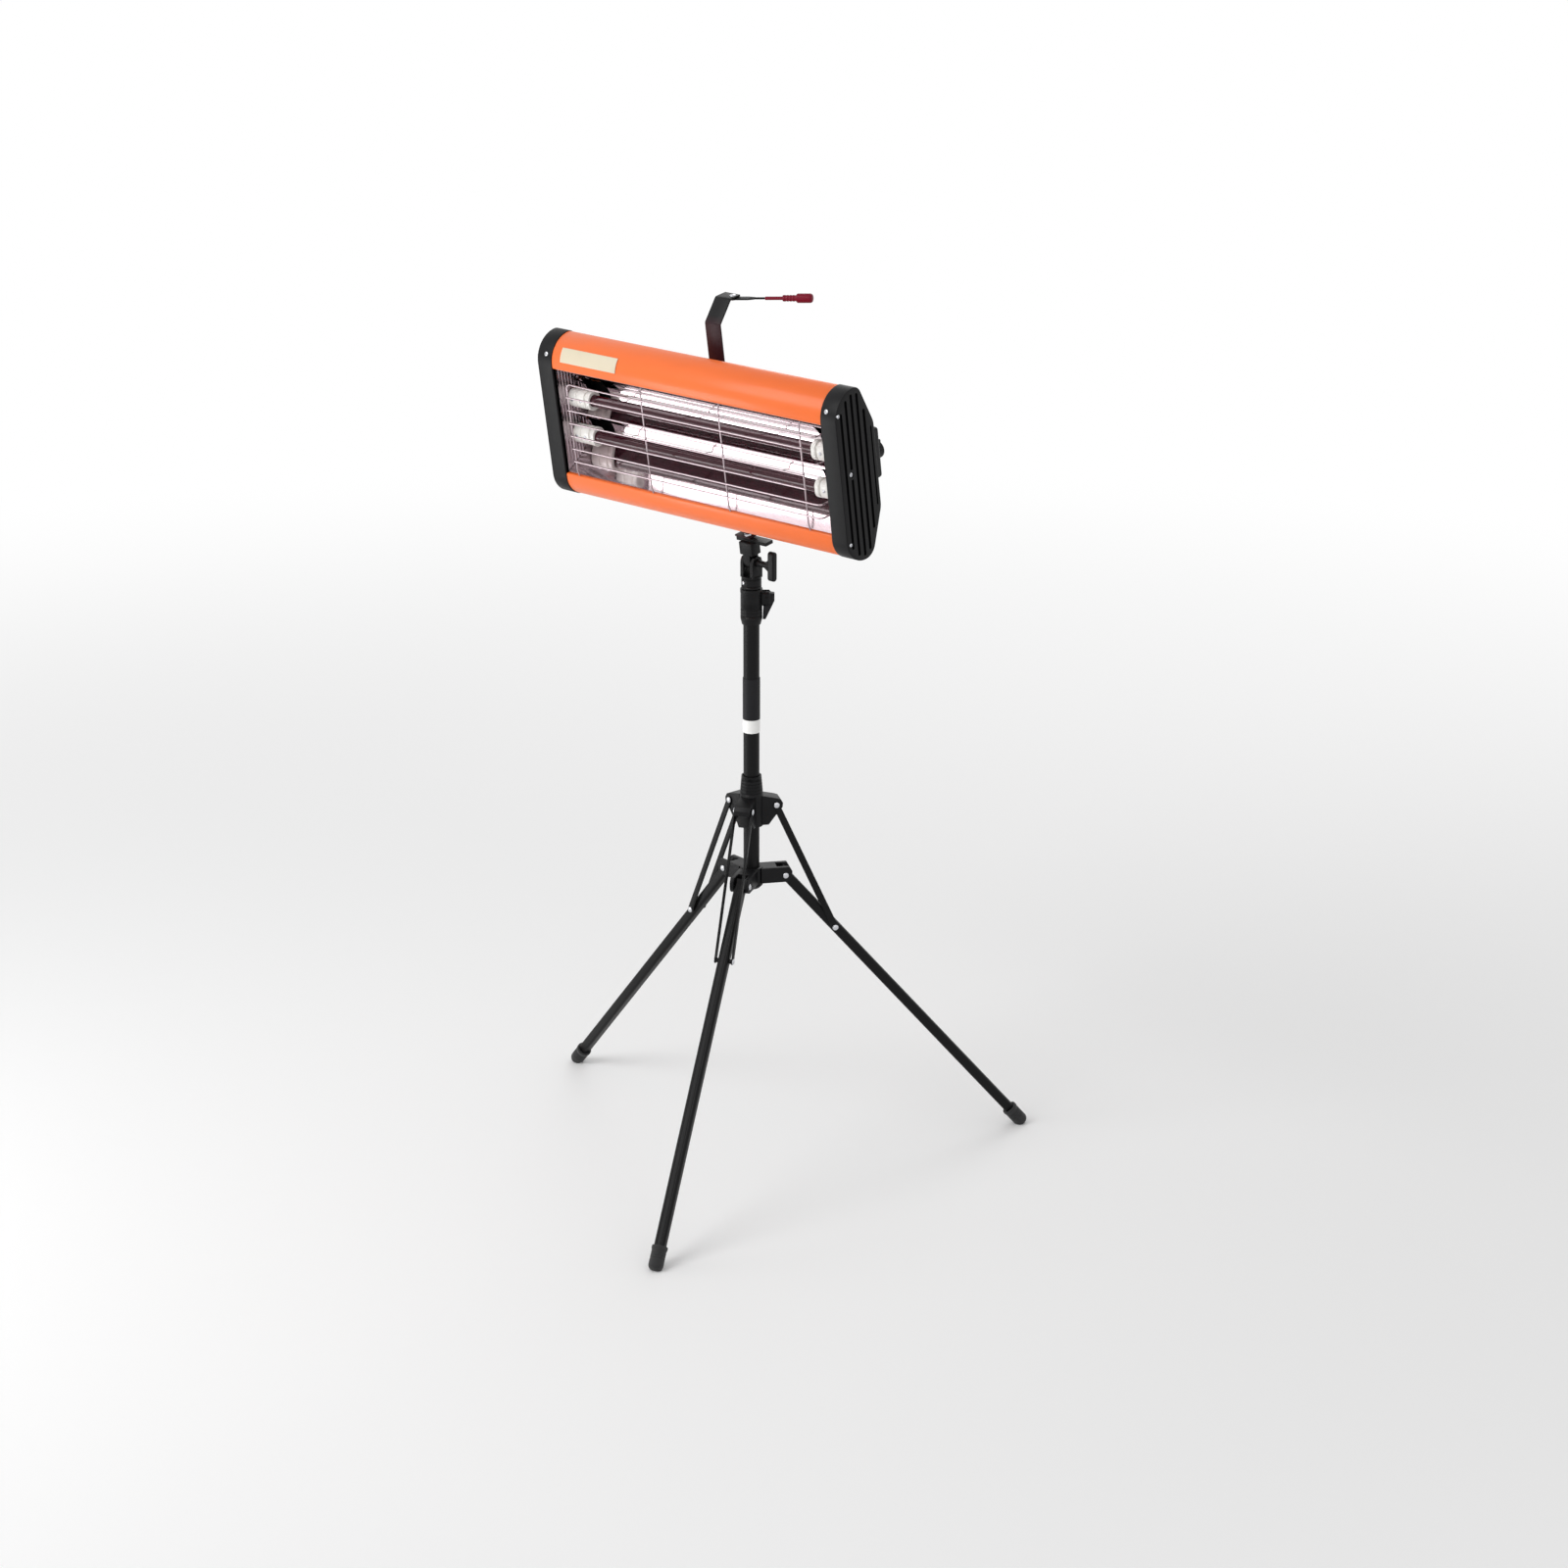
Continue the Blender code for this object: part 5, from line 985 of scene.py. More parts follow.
class LAMP_OT_quartz_tubes(Operator):
    """Draw the ruby tubes with their coils and ceramic holders"""

    bl_idname = "curing_lamp.quartz_tubes"
    bl_label = "Quartz tubes"

    def execute(self, context):
        sizes, heat = context.scene.lamp_head, context.scene.lamp_heater
        head = head_frame()
        face = end_face(sizes) - heat.holder
        in_socket = 12 * MM
        half = face + in_socket
        glass = tube("quartz_tube", heat.glass, heat.glass - heat.glass_wall, -half, half)
        glasses, coils = copies(glass, 2), copies(self.coil(heat, face), 2)
        for level, way in (("upper", 1), ("lower", -1)):
            place = (0, heat.glass_depth, way * heat.spacing / 2)
            where = spot(head, place, ALONG_X)
            glass = put(glasses.pop(), where)
            seated(glass, "ruby", "head", [level + "_quartz_tube"]).name = f"ruby_{level}_tube"
            coil = put(coils.pop(), where)
            seated(coil, "coil", "head", [level + "_element"]).name = f"heating_coil_{level}"
            for side, end in (("left", -1), ("right", 1)):
                self.holder(head, heat, face, place, level, side, end)
        return {"FINISHED"}

    def coil(self, heat, face):
        """A wound heating coil along Z with a straight lead at each end."""
        clear, lead_out, thread, lead = mm(4, 13, 0.55, 1.6)
        end, far = face - clear, face + lead_out
        turns = int(2 * end / heat.coil_pitch)
        bpy.ops.object.select_all(action="DESELECT")
        bpy.ops.mesh.primitive_circle_add(
            vertices=6, radius=thread, location=(heat.coil, 0, 0), rotation=(QUARTER, 0, 0)
        )
        coil = bpy.context.active_object
        bpy.ops.object.transform_apply(location=True, rotation=True, scale=True)
        winding = {"iterations": turns, "screw_offset": heat.coil_pitch, "steps": 12, "render_steps": 12}
        applied(coil, "SCREW", **winding)
        put(coil, Matrix.Translation((0, 0, -turns * heat.coil_pitch / 2)))
        gathered(coil, *[rod("lead", lead, low, high, 12) for low, high in ((end, far), (-far, -end))])
        return edited(coil, bpy.ops.mesh.fill_holes, face_outwards)

    def holder(self, head, heat, face, place, level, side, end):
        """One ceramic holder with its socket, clip grooves and terminal screws."""
        wide, tall, corner = 25, 30, 11.5
        parts = []
        for start, stop, inset in ((0, 8, 0), (7, 12, 2.4), (11, 26, 0.4), (25, 30, 2), (29, 43.7, 0.4)):
            outline = rounded_box(*mm(wide - 2 * inset, tall - 2 * inset, corner - inset), 8)
            part = prism("holder", outline, (stop - start) * MM)
            middle = face + (start + stop) / 2 * MM
            parts.append(put(part, spot(Matrix(), (end * middle, *place[1:]), ACROSS_X)))
        body = fused(*parts)
        socket = rod("socket", heat.glass + 0.3 * MM, -14 * MM, 14 * MM, 48)
        cut(body, put(socket, spot(Matrix(), (end * face, *place[1:]), ALONG_X)))
        eased(body, 0.7 * MM, 3, 50)
        name = f"ceramic_holder_{level}_{side}"
        seated(put(body, head), "ceramic", "head", [f"{level}_holder_{side}"]).name = name
        front = place[1] - 12.05 * MM
        places = [(end * (face + out), front, place[2]) for out in mm(18, 36)]
        frames = [spot(head, where, (QUARTER, 0, 0)) for where in places]
        screwed(f"terminal_screws_{level}_{side}", *mm(2.6, 1.4), frames)


class LAMP_OT_wire_guard(Operator):
    """Weld the guard from its rows and bars"""

    bl_idname = "curing_lamp.wire_guard"
    bl_label = "Wire guard"

    def execute(self, context):
        sizes, heat = context.scene.lamp_head, context.scene.lamp_heater
        front, weld_depth, shift, rise = mm(-4, 0.5, -6.5, 2.8)
        behind = front + 2 * heat.wire - weld_depth
        foot = sizes.window - sizes.gap - heat.wire * 0.32
        knee = foot - 9 * MM
        bars = [(i - 1.5) * heat.bar_pitch + shift for i in range(4)]
        rows = [(3 - i) * heat.row_pitch + rise for i in range(7)]
        up = [(1 * MM, foot), (behind / 2 + 0.2 * MM, knee + 4 * MM), (behind, knee)]
        down = [(y, -z) for y, z in up[::-1]]
        wires = []
        for i, x in enumerate(bars[1:]):
            wires.append(wire(f"guard_bar_{i}", [(x, y, z) for y, z in up + down], heat.wire))
        hooked, hook, hook_depth = (0, 2, 5, 6), *mm(258, 16)
        for i, z in enumerate(rows):
            points = [(bars[3] + 3 * MM, front, z), (bars[0] - 1.5 * MM, front, z)]
            if i in hooked:
                tip = (hook, front + hook_depth)
                bend = fillet((0, front), (hook, front), tip, 8 * MM, 6)
                points = [(*tip, z)] + [(x, y, z) for x, y in bend[::-1]] + points[1:]
            if i == 0:
                corner = fillet((0, z), (bars[0], z), (bars[0], 0), 7 * MM, 6)
                points = points[:-1] + [((bars[0] + bars[1]) / 2, front, z)]
                points += [(x, behind, height) for x, height in corner]
                points += [(bars[0], y, height) for y, height in down]
            wires.append(wire(f"guard_row_{i}", points, heat.wire))
        guard = put(gathered(*wires), head_frame())
        seated(guard, "chrome", "head", ["wire_guard"]).name = "chromed_guard"
        return {"FINISHED"}


class LAMP_OT_switch_box(Operator):
    """Mould the switch box with its knob and its cable gland"""

    bl_idname = "curing_lamp.switch_box"
    bl_label = "Switch box"

    def execute(self, context):
        sizes = context.scene.lamp_head
        head = head_frame()
        long, deep, high, from_end = mm(66, 50, 78, 5)
        wall, cover, spare, seam_at, seam_wide, seam_deep = mm(2.5, 3.6, 1, 18, 0.8, 0.6)
        x = sizes.width / 2 - from_end - long / 2
        front = sizes.depth + sizes.gap
        middle = front + deep / 2
        round_edge = 5 * MM
        behind = round_edge + spare
        case = block("switch_case", (long, deep + behind, high), (x, middle - behind / 2, 0))
        eased(case, round_edge, 4, 50)
        trim = block("trim", (long * 2, 2 * round_edge, high * 2), (x, front - round_edge, 0))
        room = (long - 2 * wall, deep - cover + spare, high - 2 * wall)
        hollow = block("hollow", room, (x, middle - (cover + spare) / 2, 0))
        cut(case, trim, hollow)
        line = (x, front + seam_at, 0)
        seam = block("seam", (long * 2, seam_wide, high * 2), line)
        cut(seam, block("core", (long - 2 * seam_deep, 2 * MM, high - 2 * seam_deep), line))
        cut(case, seam)
        seated(put(case, head), "black", "head", ["switch_box"])
        places = [(x + right, front + deep, up) for right in mm(-26, 26) for up in mm(-32, 32)]
        screwed("case_screws", *mm(2.6, 1.4), [spot(head, place, ALONG_Y) for place in places])
        self.knob(head, (x + 8 * MM, front + deep + sizes.gap, -7 * MM))
        self.gland(head, (x, middle, -high / 2 - sizes.gap))
        return {"FINISHED"}

    def knob(self, head, place):
        """The rotary knob: a skirt, a fluted body, a grip bar and its pointer line."""
        profile = [mm(0, 20.5), mm(12.8, 20.5), mm(13.6, 19.6), mm(14, 5), mm(17.4, 5), mm(18, 4.4)]
        profile += [mm(18, 0), mm(3, 0), mm(3, -5.2), mm(0, -5.2)]
        body = turned("switch_knob_body", profile, 60)
        notched(body, 20, 0.9 * MM, 14.2 * MM, 6 * MM, 30 * MM, 0.5)
        bar = block("bar", mm(6, 27.4, 8), mm(0, 0, 22))
        fused(body, eased(bar, 1.6 * MM, 3, 50))
        where = spot(head, place, ALONG_Y)
        seated(put(body, where), "black", "switch", ["switch_knob"], 30).name = "switch_knob_grip"
        line = eased(block("pointer_line", mm(1.2, 9, 0.5), mm(0, 8, 25.9)), 0.15 * MM, 1, 50)
        seated(put(line, where), "white", "switch").name = "pointer_line"

    def gland(self, head, place):
        """The cable gland: a hexagon under a domed nut with a soft seal."""
        hexagon = rod("gland_hexagon", 10 * MM, -6 * MM, 0, 6)
        eased(hexagon, 0.5 * MM, 2, 50)
        cut(hexagon, rod("bore", 4.2 * MM, -8 * MM, 2 * MM))
        dome = [(r, z - 19 * MM) for r, z in arc(mm(4.6, 0), 3.4 * MM, 0, -QUARTER, 6)]
        profile = [mm(8.2, -6.2), *dome, mm(4, -22), mm(4, -6.2), mm(8.2, -6.2)]
        nut = turned("gland_nut", profile, 36)
        notched(nut, 12, 0.8 * MM, 8.3 * MM, -18 * MM, -6 * MM)
        neck = tube("gland_neck", 6.1 * MM, 4 * MM, 0, 3.2 * MM)
        gland = put(gathered(hexagon, nut, neck), spot(head, place))
        seated(gland, "black", "head", ["cable_gland"], 30).name = "cable_gland_nut"


class LAMP_OT_strap(Operator):
    """Bend the strap behind the head and fit its screw"""

    bl_idname = "curing_lamp.strap"
    bl_label = "Strap"

    def execute(self, context):
        tilt = tilt_frame()
        wall, bend, slant = mm(3, 6, 42)
        low = 38.3 * MM + wall
        front = -16.7 * MM
        knee = HEAD_PLACE[2] + 172 * MM
        lean = math.radians(42)
        top, back = knee + slant * math.cos(lean), front + slant * math.sin(lean)
        corners = [
            (back + 22 * MM, top),
            (back, top),
            (front, knee),
            (front, low + 48 * MM),
            (14 * MM, low + 14 * MM),
            (14 * MM, low),
            (-4 * MM, low),
        ]
        path = [corners[0]]
        for before, corner, after in zip(corners, corners[1:], corners[2:]):
            path += fillet(before, corner, after, bend, 7)
        strap = bent_sheet("bent_strap", path + [corners[-1]], wall, 30 * MM)
        put(eased(strap, 0.6 * MM, 2, 60), spot(Matrix(), (-10 * MM, 0, 0), ACROSS_X))
        seated(put(strap, tilt), "strap_coat", "head", ["strap"])
        bolt = rod("bolt", 5.5 * MM, low, low + 3 * MM, 6)
        fused(bolt, rod("washer", 5.4 * MM, low, low + 0.8 * MM, 32))
        eased(bolt, 0.4 * MM, 2, 50)
        fused(bolt, rod("shank", 2.8 * MM, 26 * MM, low + 1 * MM, 24))
        put(bolt, spot(tilt, mm(-3, 2, 0.3)))
        seated(bolt, "steel", "head", ["strap_foot_screw"]).name = "strap_bolt"
        return {"FINISHED"}


class LAMP_OT_lever(Operator):
    """Make the swivel lever with its crimson grip"""

    bl_idname = "curing_lamp.lever"
    bl_label = "Swivel lever"

    def execute(self, context):
        low = spot(at_joint("arm_swing"), turn=(head_lean(), 0, 0))
        where = spot(low, (0, 0, 1 * MM), (0, 0, math.radians(25)))
        outline = arc((0, 0), 6 * MM, QUARTER, 3 * QUARTER, 12)
        outline += [mm(24, -6), mm(34, -3.2), mm(34, 3.2), mm(24, 6)]
        blade = eased(prism("lever_blade", outline, 2 * MM), 0.4 * MM, 2, 50)
        cut(blade, rod("hole", 2.9 * MM, -3 * MM, 3 * MM))
        stem = put(rod("lever_rod", 1.6 * MM, 26 * MM, 101 * MM, 24), spot(Matrix(), turn=ALONG_X))
        seated(put(fused(blade, stem), where), "coat", "arm", ["lever_arm"]).name = "lever_blade"
        profile = [mm(1.9, 50), mm(2.6, 50.6), mm(2.6, 77), mm(4.4, 77.4), mm(4.8, 79)]
        for start in (81, 85.6, 90.2, 94.8):
            profile += [mm(4.8, start), mm(4.3, start + 0.9), mm(4.3, start + 1.8), mm(4.8, start + 2.7)]
        tip = [(r, z + 119 * MM) for r, z in arc(mm(3, 0), 4 * MM, 0, QUARTER, 6)]
        profile += [mm(7, 100), *tip, mm(0, 123.6), mm(0, 102.4), mm(1.9, 102.4), mm(1.9, 50)]
        grip = turned("lever_grip", profile, 36)
        put(grip, spot(where, turn=ALONG_X))
        seated(grip, "crimson", "arm", ["lever_grip"]).name = "crimson_grip"
        pin = domed_rivet("lever_pin", 4.7 * MM, 1.8 * MM, 5.8 * MM)
        put(pin, spot(low, (0, 0, 2.65 * MM)))
        seated(pin, "steel", "head", ["lever_rivet"]).name = "lever_pin"
        return {"FINISHED"}


class LAMP_OT_tilt_joint(Operator):
    """Make the tilt bracket, the swivel adaptor, the T-shaped knob and its nut"""

    bl_idname = "curing_lamp.tilt_joint"
    bl_label = "Tilt joint"

    def execute(self, context):
        bracket = dressed("tilt_bracket", "tilt_bracket_casting", 0.5 * MM)
        seated(bracket, "black", "head", ["tilt_bracket"], 30)
        adaptor = dressed("swivel_adaptor", "swivel_adaptor_casting", 0.8 * MM)
        stand = stand_frame()
        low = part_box("swivel_adaptor")[0]
        for z in (low.z + 4 * MM, low.z + 14 * MM):
            ring = put(tube("ring", 20 * MM, 14.7 * MM, z, z + 1.2 * MM), stand)
            cut(adaptor, ring)
        seated(adaptor, "black", "swivel", ["swivel_adaptor"], 30)
        screw = cross_screw("adaptor_set_screw", 2.8 * MM, 1.6 * MM)
        side = spot(stand, turn=(0, 0, math.radians(-100)))
        put(screw, spot(side, (15.2 * MM, 0, low.z + 9.6 * MM), ALONG_X))
        seated(screw, "steel", "swivel").name = "adaptor_set_screw"

        knob = spot(at_joint("knob_turn"), turn=ALONG_X)
        profile = [mm(0, 24), mm(4.6, 24), mm(5, 4), mm(6, 3), mm(6, 0), mm(3, 0), mm(3, -31), mm(0, -31)]
        stem = turned("knob_stem", profile, 32)
        bar = prism("bar", rounded_box(*mm(46, 10, 4.9), 8), 12 * MM)
        put(eased(bar, 2.6 * MM, 4, 50), Matrix.Translation((0, 0, 29.4 * MM)))
        waist = prism("waist", [mm(-9, 23.6), mm(-4.4, 16), mm(4.4, 16), mm(9, 23.6)], 7 * MM)
        put(waist, spot(Matrix(), turn=ACROSS_Y))
        fused(bar, eased(waist, 0.8 * MM, 2, 50), stem)
        seated(put(bar, knob), "black", "knob", ["tilt_knob"], 30).name = "tilt_t_knob"
        nut = eased(rod("tilt_lock_nut", 6 * MM, -2.5 * MM, 2.5 * MM, 6), 0.5 * MM, 2, 50)
        cut(nut, rod("hole", 3.3 * MM, -5 * MM, 5 * MM))
        middle = sum(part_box("tilt_nut"), Vector()) / 2
        put(nut, spot(Matrix.Translation(middle), turn=ALONG_X))
        seated(nut, "steel", "swivel", ["tilt_nut"])
        return {"FINISHED"}


class LAMP_OT_column(Operator):
    """Draw the column, the mast, the sleeve and the white band"""

    bl_idname = "curing_lamp.column"
    bl_label = "Column"

    def execute(self, context):
        stand = stand_frame()
        radius = context.scene.lamp_stand.tube
        for node, name, outer, wall, look, body in (
            ("column_tube", "column_outer_tube", radius, 1.2, "coat", "stand"),
            ("inner_mast", "mast_tube", radius - 1.5 * MM, 1.2, "coat", "mast"),
            ("column_sleeve", "bare_sleeve", radius + 1 * MM, 0.7, "grey", "stand"),
            ("white_band", "white_column_band", radius + 1 * MM, 0.7, "white", "stand"),
        ):
            low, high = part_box(node)
            pipe = tube(name, outer, outer - wall * MM, low.z, high.z, 0.25 * MM)
            seated(put(pipe, stand), look, body, [node])
        return {"FINISHED"}


class LAMP_OT_clamp(Operator):
    """Make the flip-lock clamp with its lever and its pin"""

    bl_idname = "curing_lamp.clamp"
    bl_label = "Column clamp"

    def execute(self, context):
        clamp = dressed("column_clamp", "flip_lock_clamp", 0.6 * MM)
        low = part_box("column_clamp")[0].z
        for rise in mm(14, 19, 24):
            ring = tube("ring", 20 * MM, 16.2 * MM, low + rise, low + rise + 1.4 * MM)
            cut(clamp, put(ring, stand_frame()))
        seated(clamp, "black", "stand", ["column_clamp"], 30)
        lever = dressed("clamp_lever", "flip_lock_lever", 0.8 * MM)
        seated(lever, "grey", "lock_lever", ["clamp_lever"], 30)
        x, y = JOINTS["lock_lever_swing"]["axis"][:2]
        across = spot(at_joint("lock_lever_swing"), turn=(QUARTER, 0, math.atan2(x, -y)))
        pin = eased(rod("clamp_pin", 1.8 * MM, -9.6 * MM, 9.6 * MM, 24), 0.4 * MM, 2, 50)
        seated(put(pin, across), "coat", "stand", ["clamp_pin"]).name = "flip_lock_pin"
        return {"FINISHED"}


class LAMP_OT_legs(Operator):
    """Make the hub, the legs with their feet, and their rivets"""

    bl_idname = "curing_lamp.legs"
    bl_label = "Hub and legs"

    def execute(self, context):
        sizes = context.scene.lamp_stand
        hub = dressed("leg_hub", "leg_hub_casting", 0.8 * MM)
        seated(hub, "black", "stand", ["leg_hub"], 30)
        spread = math.radians(40.6)
        over = 9 * MM
        outline = rounded_box(sizes.leg_depth, sizes.leg_width, 4 * MM, 5)
        leg = prism("leg", outline, sizes.leg + over)
        for y in mm(-3.4, 3.4):
            size = (0.9 * MM, 1.4 * MM, sizes.leg - 40 * MM)
            cut(leg, block("channel", size, (sizes.leg_depth / 2, y, -3 * MM)))
        eased(leg, 0.35 * MM, 2, 50)
        rivet = domed_rivet("leg_rivet", sizes.rivet, 1.8 * MM, sizes.leg_width + 13.2 * MM)
        legs, feet, rivets = copies(leg, 3), copies(self.foot(sizes), 3), copies(rivet, 3)
        for name in LEG_NAMES:
            pivot = bay("leg_fold", name)
            down = spot(pivot, turn=(0, -spread, 0))
            leg = put(legs.pop(), spot(down, (0, 0, (over - sizes.leg) / 2)))
            seated(leg, "coat", name + "_leg", ["leg_" + name]).name = f"{name}_leg_tube"
            foot = edited(put(feet.pop(), down), self.sole)
            seated(foot, "rubber", name + "_leg", ["foot_" + name], 50).name = f"{name}_rubber_foot"
            rivet = put(rivets.pop(), spot(pivot, turn=ACROSS_Y))
            seated(rivet, "steel", "stand", [f"leg_{name}_rivet"]).name = f"{name}_leg_rivet"
        return {"FINISHED"}

    def foot(self, sizes):
        """A rubber boot with rings round it, as deep as the leg's lower end."""
        inside, beyond, ball = mm(24, 14, 9)
        rim, tip = inside - sizes.leg, beyond + sizes.leg
        steps = [(9, 0), (12, 0), (12.4, -0.5), (12.4, -4.5), (11.6, -5.2)]
        for start in (-8, -11.6, -15.2, -18.8):
            steps += [(11.6, start), (10.9, start - 0.5), (10.9, start - 1.3), (11.6, start - 1.8)]
        profile = [(radius * MM, rim + height * MM) for radius, height in steps]
        profile += [(r, z - tip + ball) for r, z in arc(mm(2.6, 0), ball, 0, -QUARTER, 8)]
        profile += [(0, -tip), (0, rim - 1 * MM), (9 * MM, rim - 1 * MM), (9 * MM, rim)]
        return turned("foot", profile, 40)

    def sole(self):
        """Cut the boot in edit mode flat at the floor."""
        bpy.ops.mesh.bisect(plane_co=(0, 0, 0), plane_no=(0, 0, -1), use_fill=True, clear_outer=True)


class LAMP_OT_braces(Operator):
    """Make the sliding collar and the pairs of brace strips"""

    bl_idname = "curing_lamp.braces"
    bl_label = "Collar and braces"

    def execute(self, context):
        sizes = context.scene.lamp_stand
        collar = dressed("brace_collar", "sliding_collar", 0.8 * MM)
        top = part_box("brace_collar")[1].z
        neck, tall, flare, groove = mm(15.6, 35, 2.9, 0.7)
        for down in mm(6, 11, 16, 21, 26):
            radius = neck + down / tall * flare - groove
            ring = tube("ring", 24 * MM, radius, top - down - 1.3 * MM, top - down)
            cut(collar, put(ring, stand_frame()))
        seated(collar, "black", "collar", ["brace_collar"], 30)
        rivets = copies(domed_rivet("brace_rivet", sizes.rivet, 1.8 * MM, 30.2 * MM), 3)
        strips, studs = copies(self.strip(sizes), 6), copies(self.stud(sizes), 6)
        for name in LEG_NAMES:
            pivot = bay("brace_swing", name)
            down = spot(pivot, turn=(0, -math.radians(24.25), 0))
            for side, turn in (("a", 0), ("b", math.pi)):
                where = spot(down, turn=(0, 0, turn))
                strip, stud = put(strips.pop(), where), put(studs.pop(), where)
                seated(strip, "coat", name + "_brace", [f"brace_{name}_{side}"])
                strip.name = f"{name}_brace_strip_{side}"
                seated(stud, "steel", name + "_brace").name = f"{name}_brace_stud_{side}"
            rivet = put(rivets.pop(), spot(pivot, turn=ACROSS_Y))
            seated(rivet, "steel", "collar", [f"brace_{name}_rivet"]).name = f"{name}_brace_rivet"
        return {"FINISHED"}

    def strip(self, sizes):
        """A brace strip with a boss at its lower end, hanging beside its pivot."""
        aside, end = mm(13.8, 5)
        strip = prism("strip", slot(sizes.brace / 2 + end, end, (0, -sizes.brace / 2)), 2 * MM)
        put(strip, spot(Matrix(), (0, aside, 0), ACROSS_Y))
        eased(strip, 0.4 * MM, 2, 50)
        boss = rod("boss", 3.5 * MM, 0, 5 * MM, 24)
        return fused(strip, put(boss, spot(Matrix(), (0, aside, -sizes.brace), (QUARTER, 0, 0))))

    def stud(self, sizes):
        """The stud's head on the outer face of a strip's lower end."""
        head = turned("stud", domed(sizes.rivet, 1.8 * MM) + [(0, 0)], 32)
        return put(head, spot(Matrix(), (0, 14.8 * MM, -sizes.brace), (-QUARTER, 0, 0)))


class LAMP_OT_inner_pieces(Operator):
    """Give the terminal block, which keeps its shape, its finish"""

    bl_idname = "curing_lamp.inner_pieces"
    bl_label = "Inner pieces"

    def execute(self, context):
        kept = frame["nodes"]["terminal_block"]
        kept.data.materials.clear()
        kept.data.materials.append(finish("ceramic"))
        for name, node in frame["nodes"].items():
            if node != kept and not node.hide_render:
                raise RuntimeError(f"{name} has no finish yet")
        return {"FINISHED"}


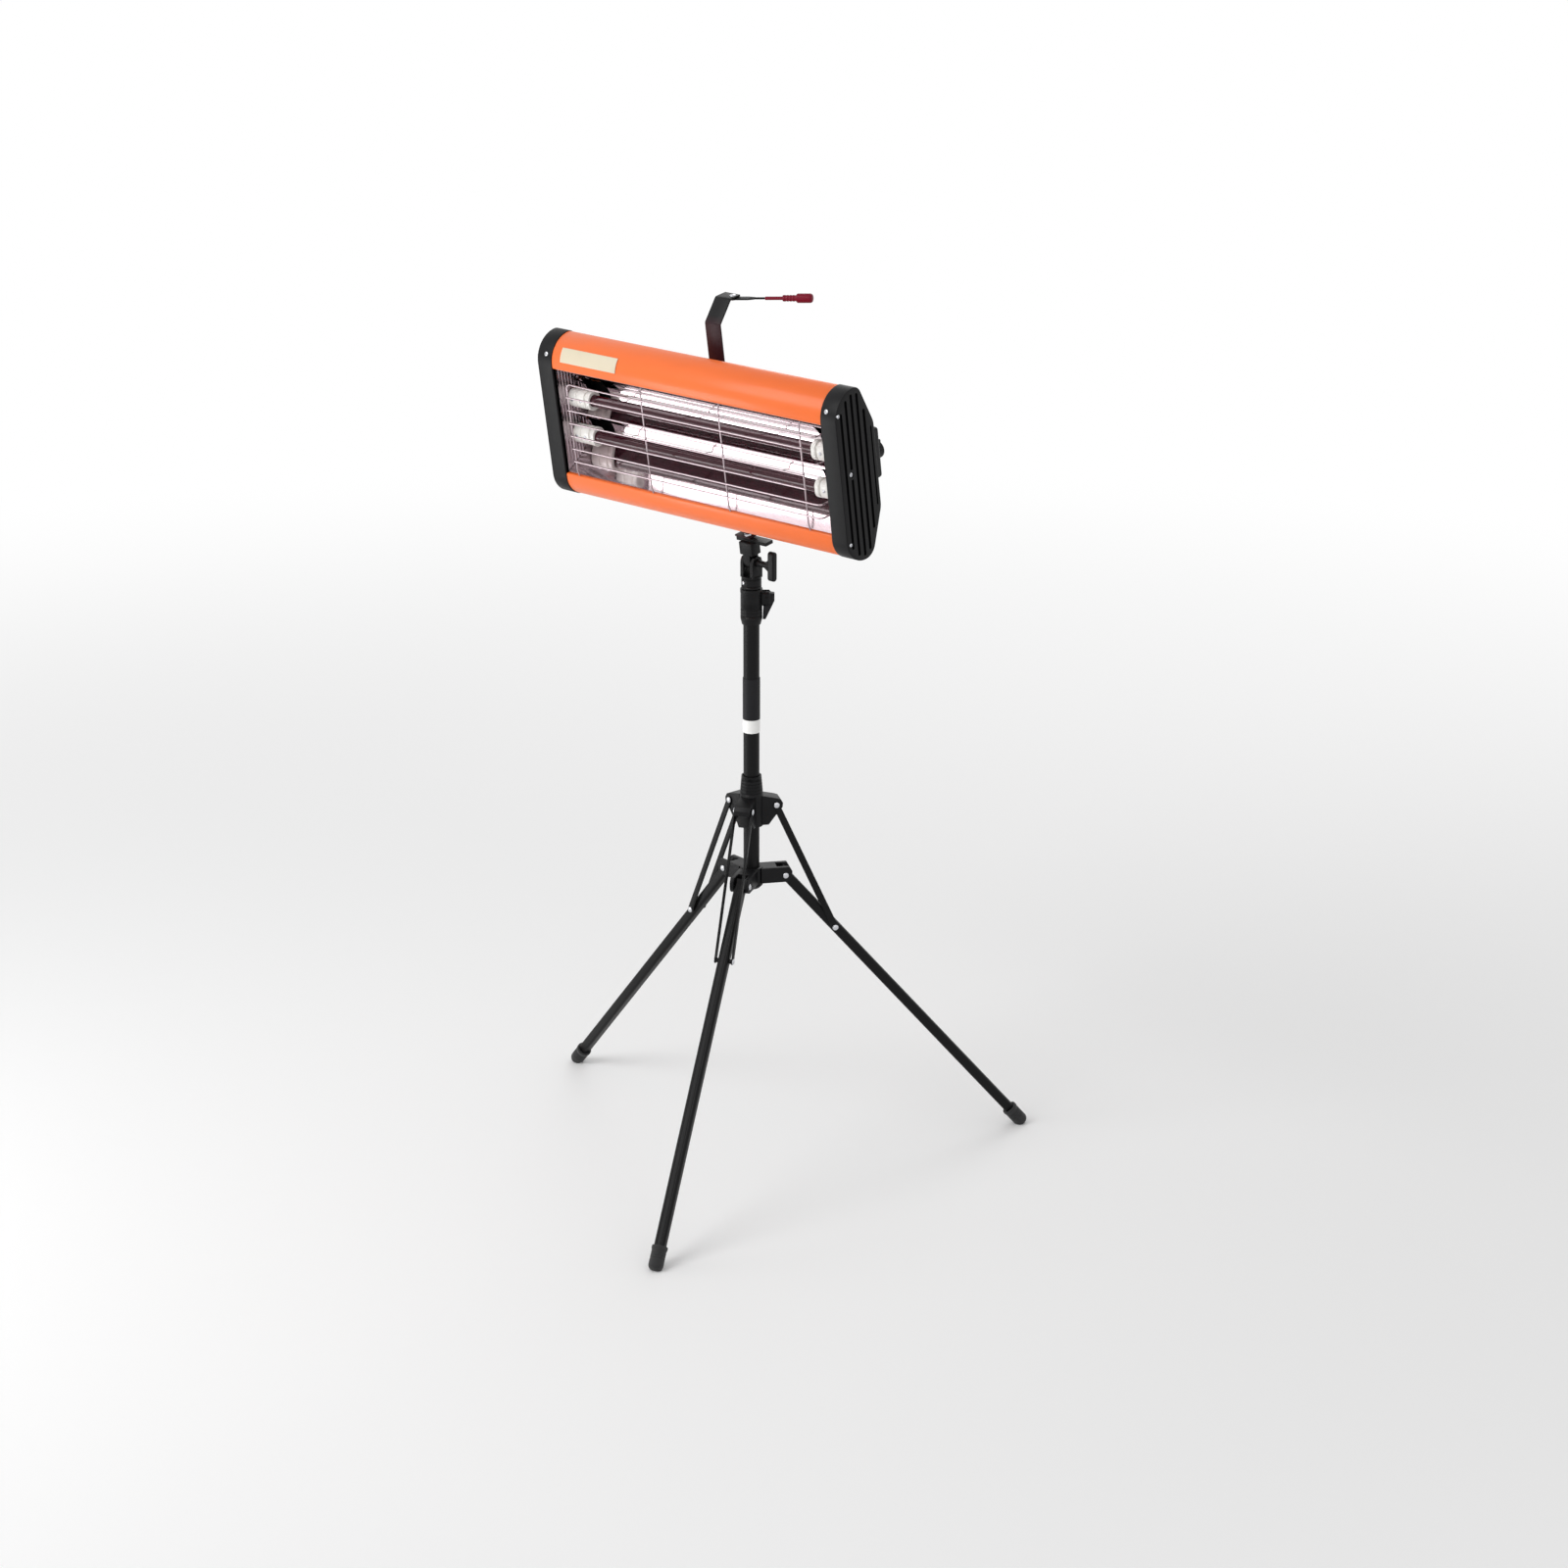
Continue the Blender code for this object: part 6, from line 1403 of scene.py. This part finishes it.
class LAMP_OT_studio(Operator):
    """Set up the pale floor, the soft light and the camera"""

    bl_idname = "curing_lamp.studio"
    bl_label = "Studio"

    def execute(self, context):
        bpy.ops.object.select_all(action="DESELECT")
        below = (0, 0, -0.4 * MM)
        bpy.ops.mesh.primitive_circle_add(vertices=96, radius=7, fill_type="NGON", location=below)
        floor = bpy.context.active_object
        floor.name = "floor"
        floor.data.materials.append(self.paper())
        aims = {"head": Vector((0.08, -0.05, 1.15)), "middle": Vector((0.08, 0, 0.85))}
        for name, place, size, power, aim in (
            ("key", (-0.9, -3.0, 3.2), 2.2, 62, "middle"),
            ("fill", (3.6, -1.8, 2.6), 2.6, 8, "middle"),
            ("rim", (-1.2, 2.8, 2.8), 2.0, 24, "middle"),
            ("low", (-1.5, -1.9, 0.35), 1.0, 15, "head"),
        ):
            bpy.ops.object.select_all(action="DESELECT")
            bpy.ops.object.light_add(type="AREA", location=place)
            lamp = bpy.context.active_object
            lamp.name = name + "_light"
            lamp.data.size = size
            lamp.data.energy = power
            lamp.visible_camera = False
            lamp.rotation_euler = (aims[aim] - Vector(place)).to_track_quat("-Z", "Y").to_euler()
        self.world(context)
        self.camera(context)
        context.scene.view_settings.view_transform = "Standard"
        return {"FINISHED"}

    def seen(self, tree):
        """1 for what the camera sees, straight or in gloss and glass, and 0 for what lights the lamp."""
        path = add_node(tree, "ShaderNodeLightPath")
        seen = path.outputs["Is Camera Ray"]
        for ray in ("Is Glossy Ray", "Is Transmission Ray"):
            either = {0: seen, 1: path.outputs[ray]}
            seen = add_node(tree, "ShaderNodeMath", {"operation": "MAXIMUM"}, either).outputs[0]
        return seen

    def paper(self):
        """Matt white studio paper: it keeps the lamp's shadow and fades to white from 0.9 m outwards."""
        dull = {"Specular IOR Level": 0.1}
        material, tree, shader = surface("matt_studio_paper", linear("FAFAFA"), 0.9, sockets=dull)
        distance = add_node(tree, "ShaderNodeVectorMath", {"operation": "LENGTH"}, {0: place_of(tree)})
        reach = {"Value": distance.outputs["Value"], "From Min": 0.9, "From Max": 4.5}
        fade = add_node(tree, "ShaderNodeMapRange", {"interpolation_type": "SMOOTHSTEP"}, reach)
        both = {0: fade.outputs["Result"], 1: self.seen(tree)}
        share = add_node(tree, "ShaderNodeMath", {"operation": "MULTIPLY"}, both)
        glow = add_node(tree, "ShaderNodeEmission", inputs={"Strength": 1.0})
        layers = {0: share.outputs[0], 1: shader.outputs[0], 2: glow.outputs[0]}
        mix = add_node(tree, "ShaderNodeMixShader", inputs=layers)
        tree.links.new(mix.outputs[0], tree.nodes["Material Output"].inputs["Surface"])
        return material

    def world(self, context):
        """A white surround for the camera and in gloss and glass, softer on the lamp itself."""
        world = bpy.data.worlds.new("white_studio")
        context.scene.world = world
        world.use_nodes = True
        tree = world.node_tree
        levels = {"Value": self.seen(tree), "To Min": 0.55, "To Max": 1.0}
        strength = add_node(tree, "ShaderNodeMapRange", inputs=levels)
        background = tree.nodes["Background"]
        background.inputs["Color"].default_value = (1, 1, 1, 1)
        tree.links.new(strength.outputs["Result"], background.inputs["Strength"])

    def camera(self, context):
        """The camera at the photograph's place and angle."""
        bpy.ops.object.camera_add(location=(3.4503, -3.6716, 2.3906))
        camera = context.active_object
        turn, drop, roll = math.radians(41.75), 0.3403, 0.003
        look = Vector((-math.sin(turn) * math.cos(drop), math.cos(turn) * math.cos(drop), -math.sin(drop)))
        camera.rotation_mode = "QUATERNION"
        camera.rotation_quaternion = look.to_track_quat("-Z", "Y") @ Quaternion((0, 0, 1), roll)
        camera.data.lens = 78.36
        camera.data.sensor_width = 36
        context.scene.camera = camera


OPERATORS = (
    LAMP_OT_shells,
    LAMP_OT_bare_plate,
    LAMP_OT_back_panel,
    LAMP_OT_end_caps,
    LAMP_OT_reflector,
    LAMP_OT_quartz_tubes,
    LAMP_OT_wire_guard,
    LAMP_OT_switch_box,
    LAMP_OT_strap,
    LAMP_OT_lever,
    LAMP_OT_tilt_joint,
    LAMP_OT_column,
    LAMP_OT_clamp,
    LAMP_OT_legs,
    LAMP_OT_braces,
    LAMP_OT_inner_pieces,
    LAMP_OT_studio,
)
GROUPS = {
    "lamp_head": LampHeadSizes,
    "lamp_heater": HeaterSizes,
    "lamp_stand": StandSizes,
    "lamp_finishes": LampFinishes,
}


class LAMP_PT_panel(Panel):
    """Sizes, colours and pieces of the curing lamp"""

    bl_label = "Curing Lamp"
    bl_idname = "LAMP_PT_panel"
    bl_space_type = "VIEW_3D"
    bl_region_type = "UI"
    bl_category = "Curing Lamp"

    def draw(self, context):
        for name in GROUPS:
            group = getattr(context.scene, name)
            box = self.layout.box()
            for prop in group.bl_rna.properties:
                if prop.identifier not in {"rna_type", "name"}:
                    box.prop(group, prop.identifier)
        for operator in OPERATORS:
            self.layout.operator(operator.bl_idname)


CLASSES = (*GROUPS.values(), *OPERATORS, LAMP_PT_panel)


def register():
    for cls in CLASSES:
        bpy.utils.register_class(cls)
    for name, group in GROUPS.items():
        setattr(bpy.types.Scene, name, PointerProperty(type=group))


def unregister():
    for name in GROUPS:
        delattr(bpy.types.Scene, name)
    for cls in reversed(CLASSES):
        bpy.utils.unregister_class(cls)


def main():
    """Build the whole lamp and its studio."""
    register()
    for operator in OPERATORS:
        group, name = operator.bl_idname.split(".")
        getattr(getattr(bpy.ops, group), name)()


if __name__ == "__main__":
    main()
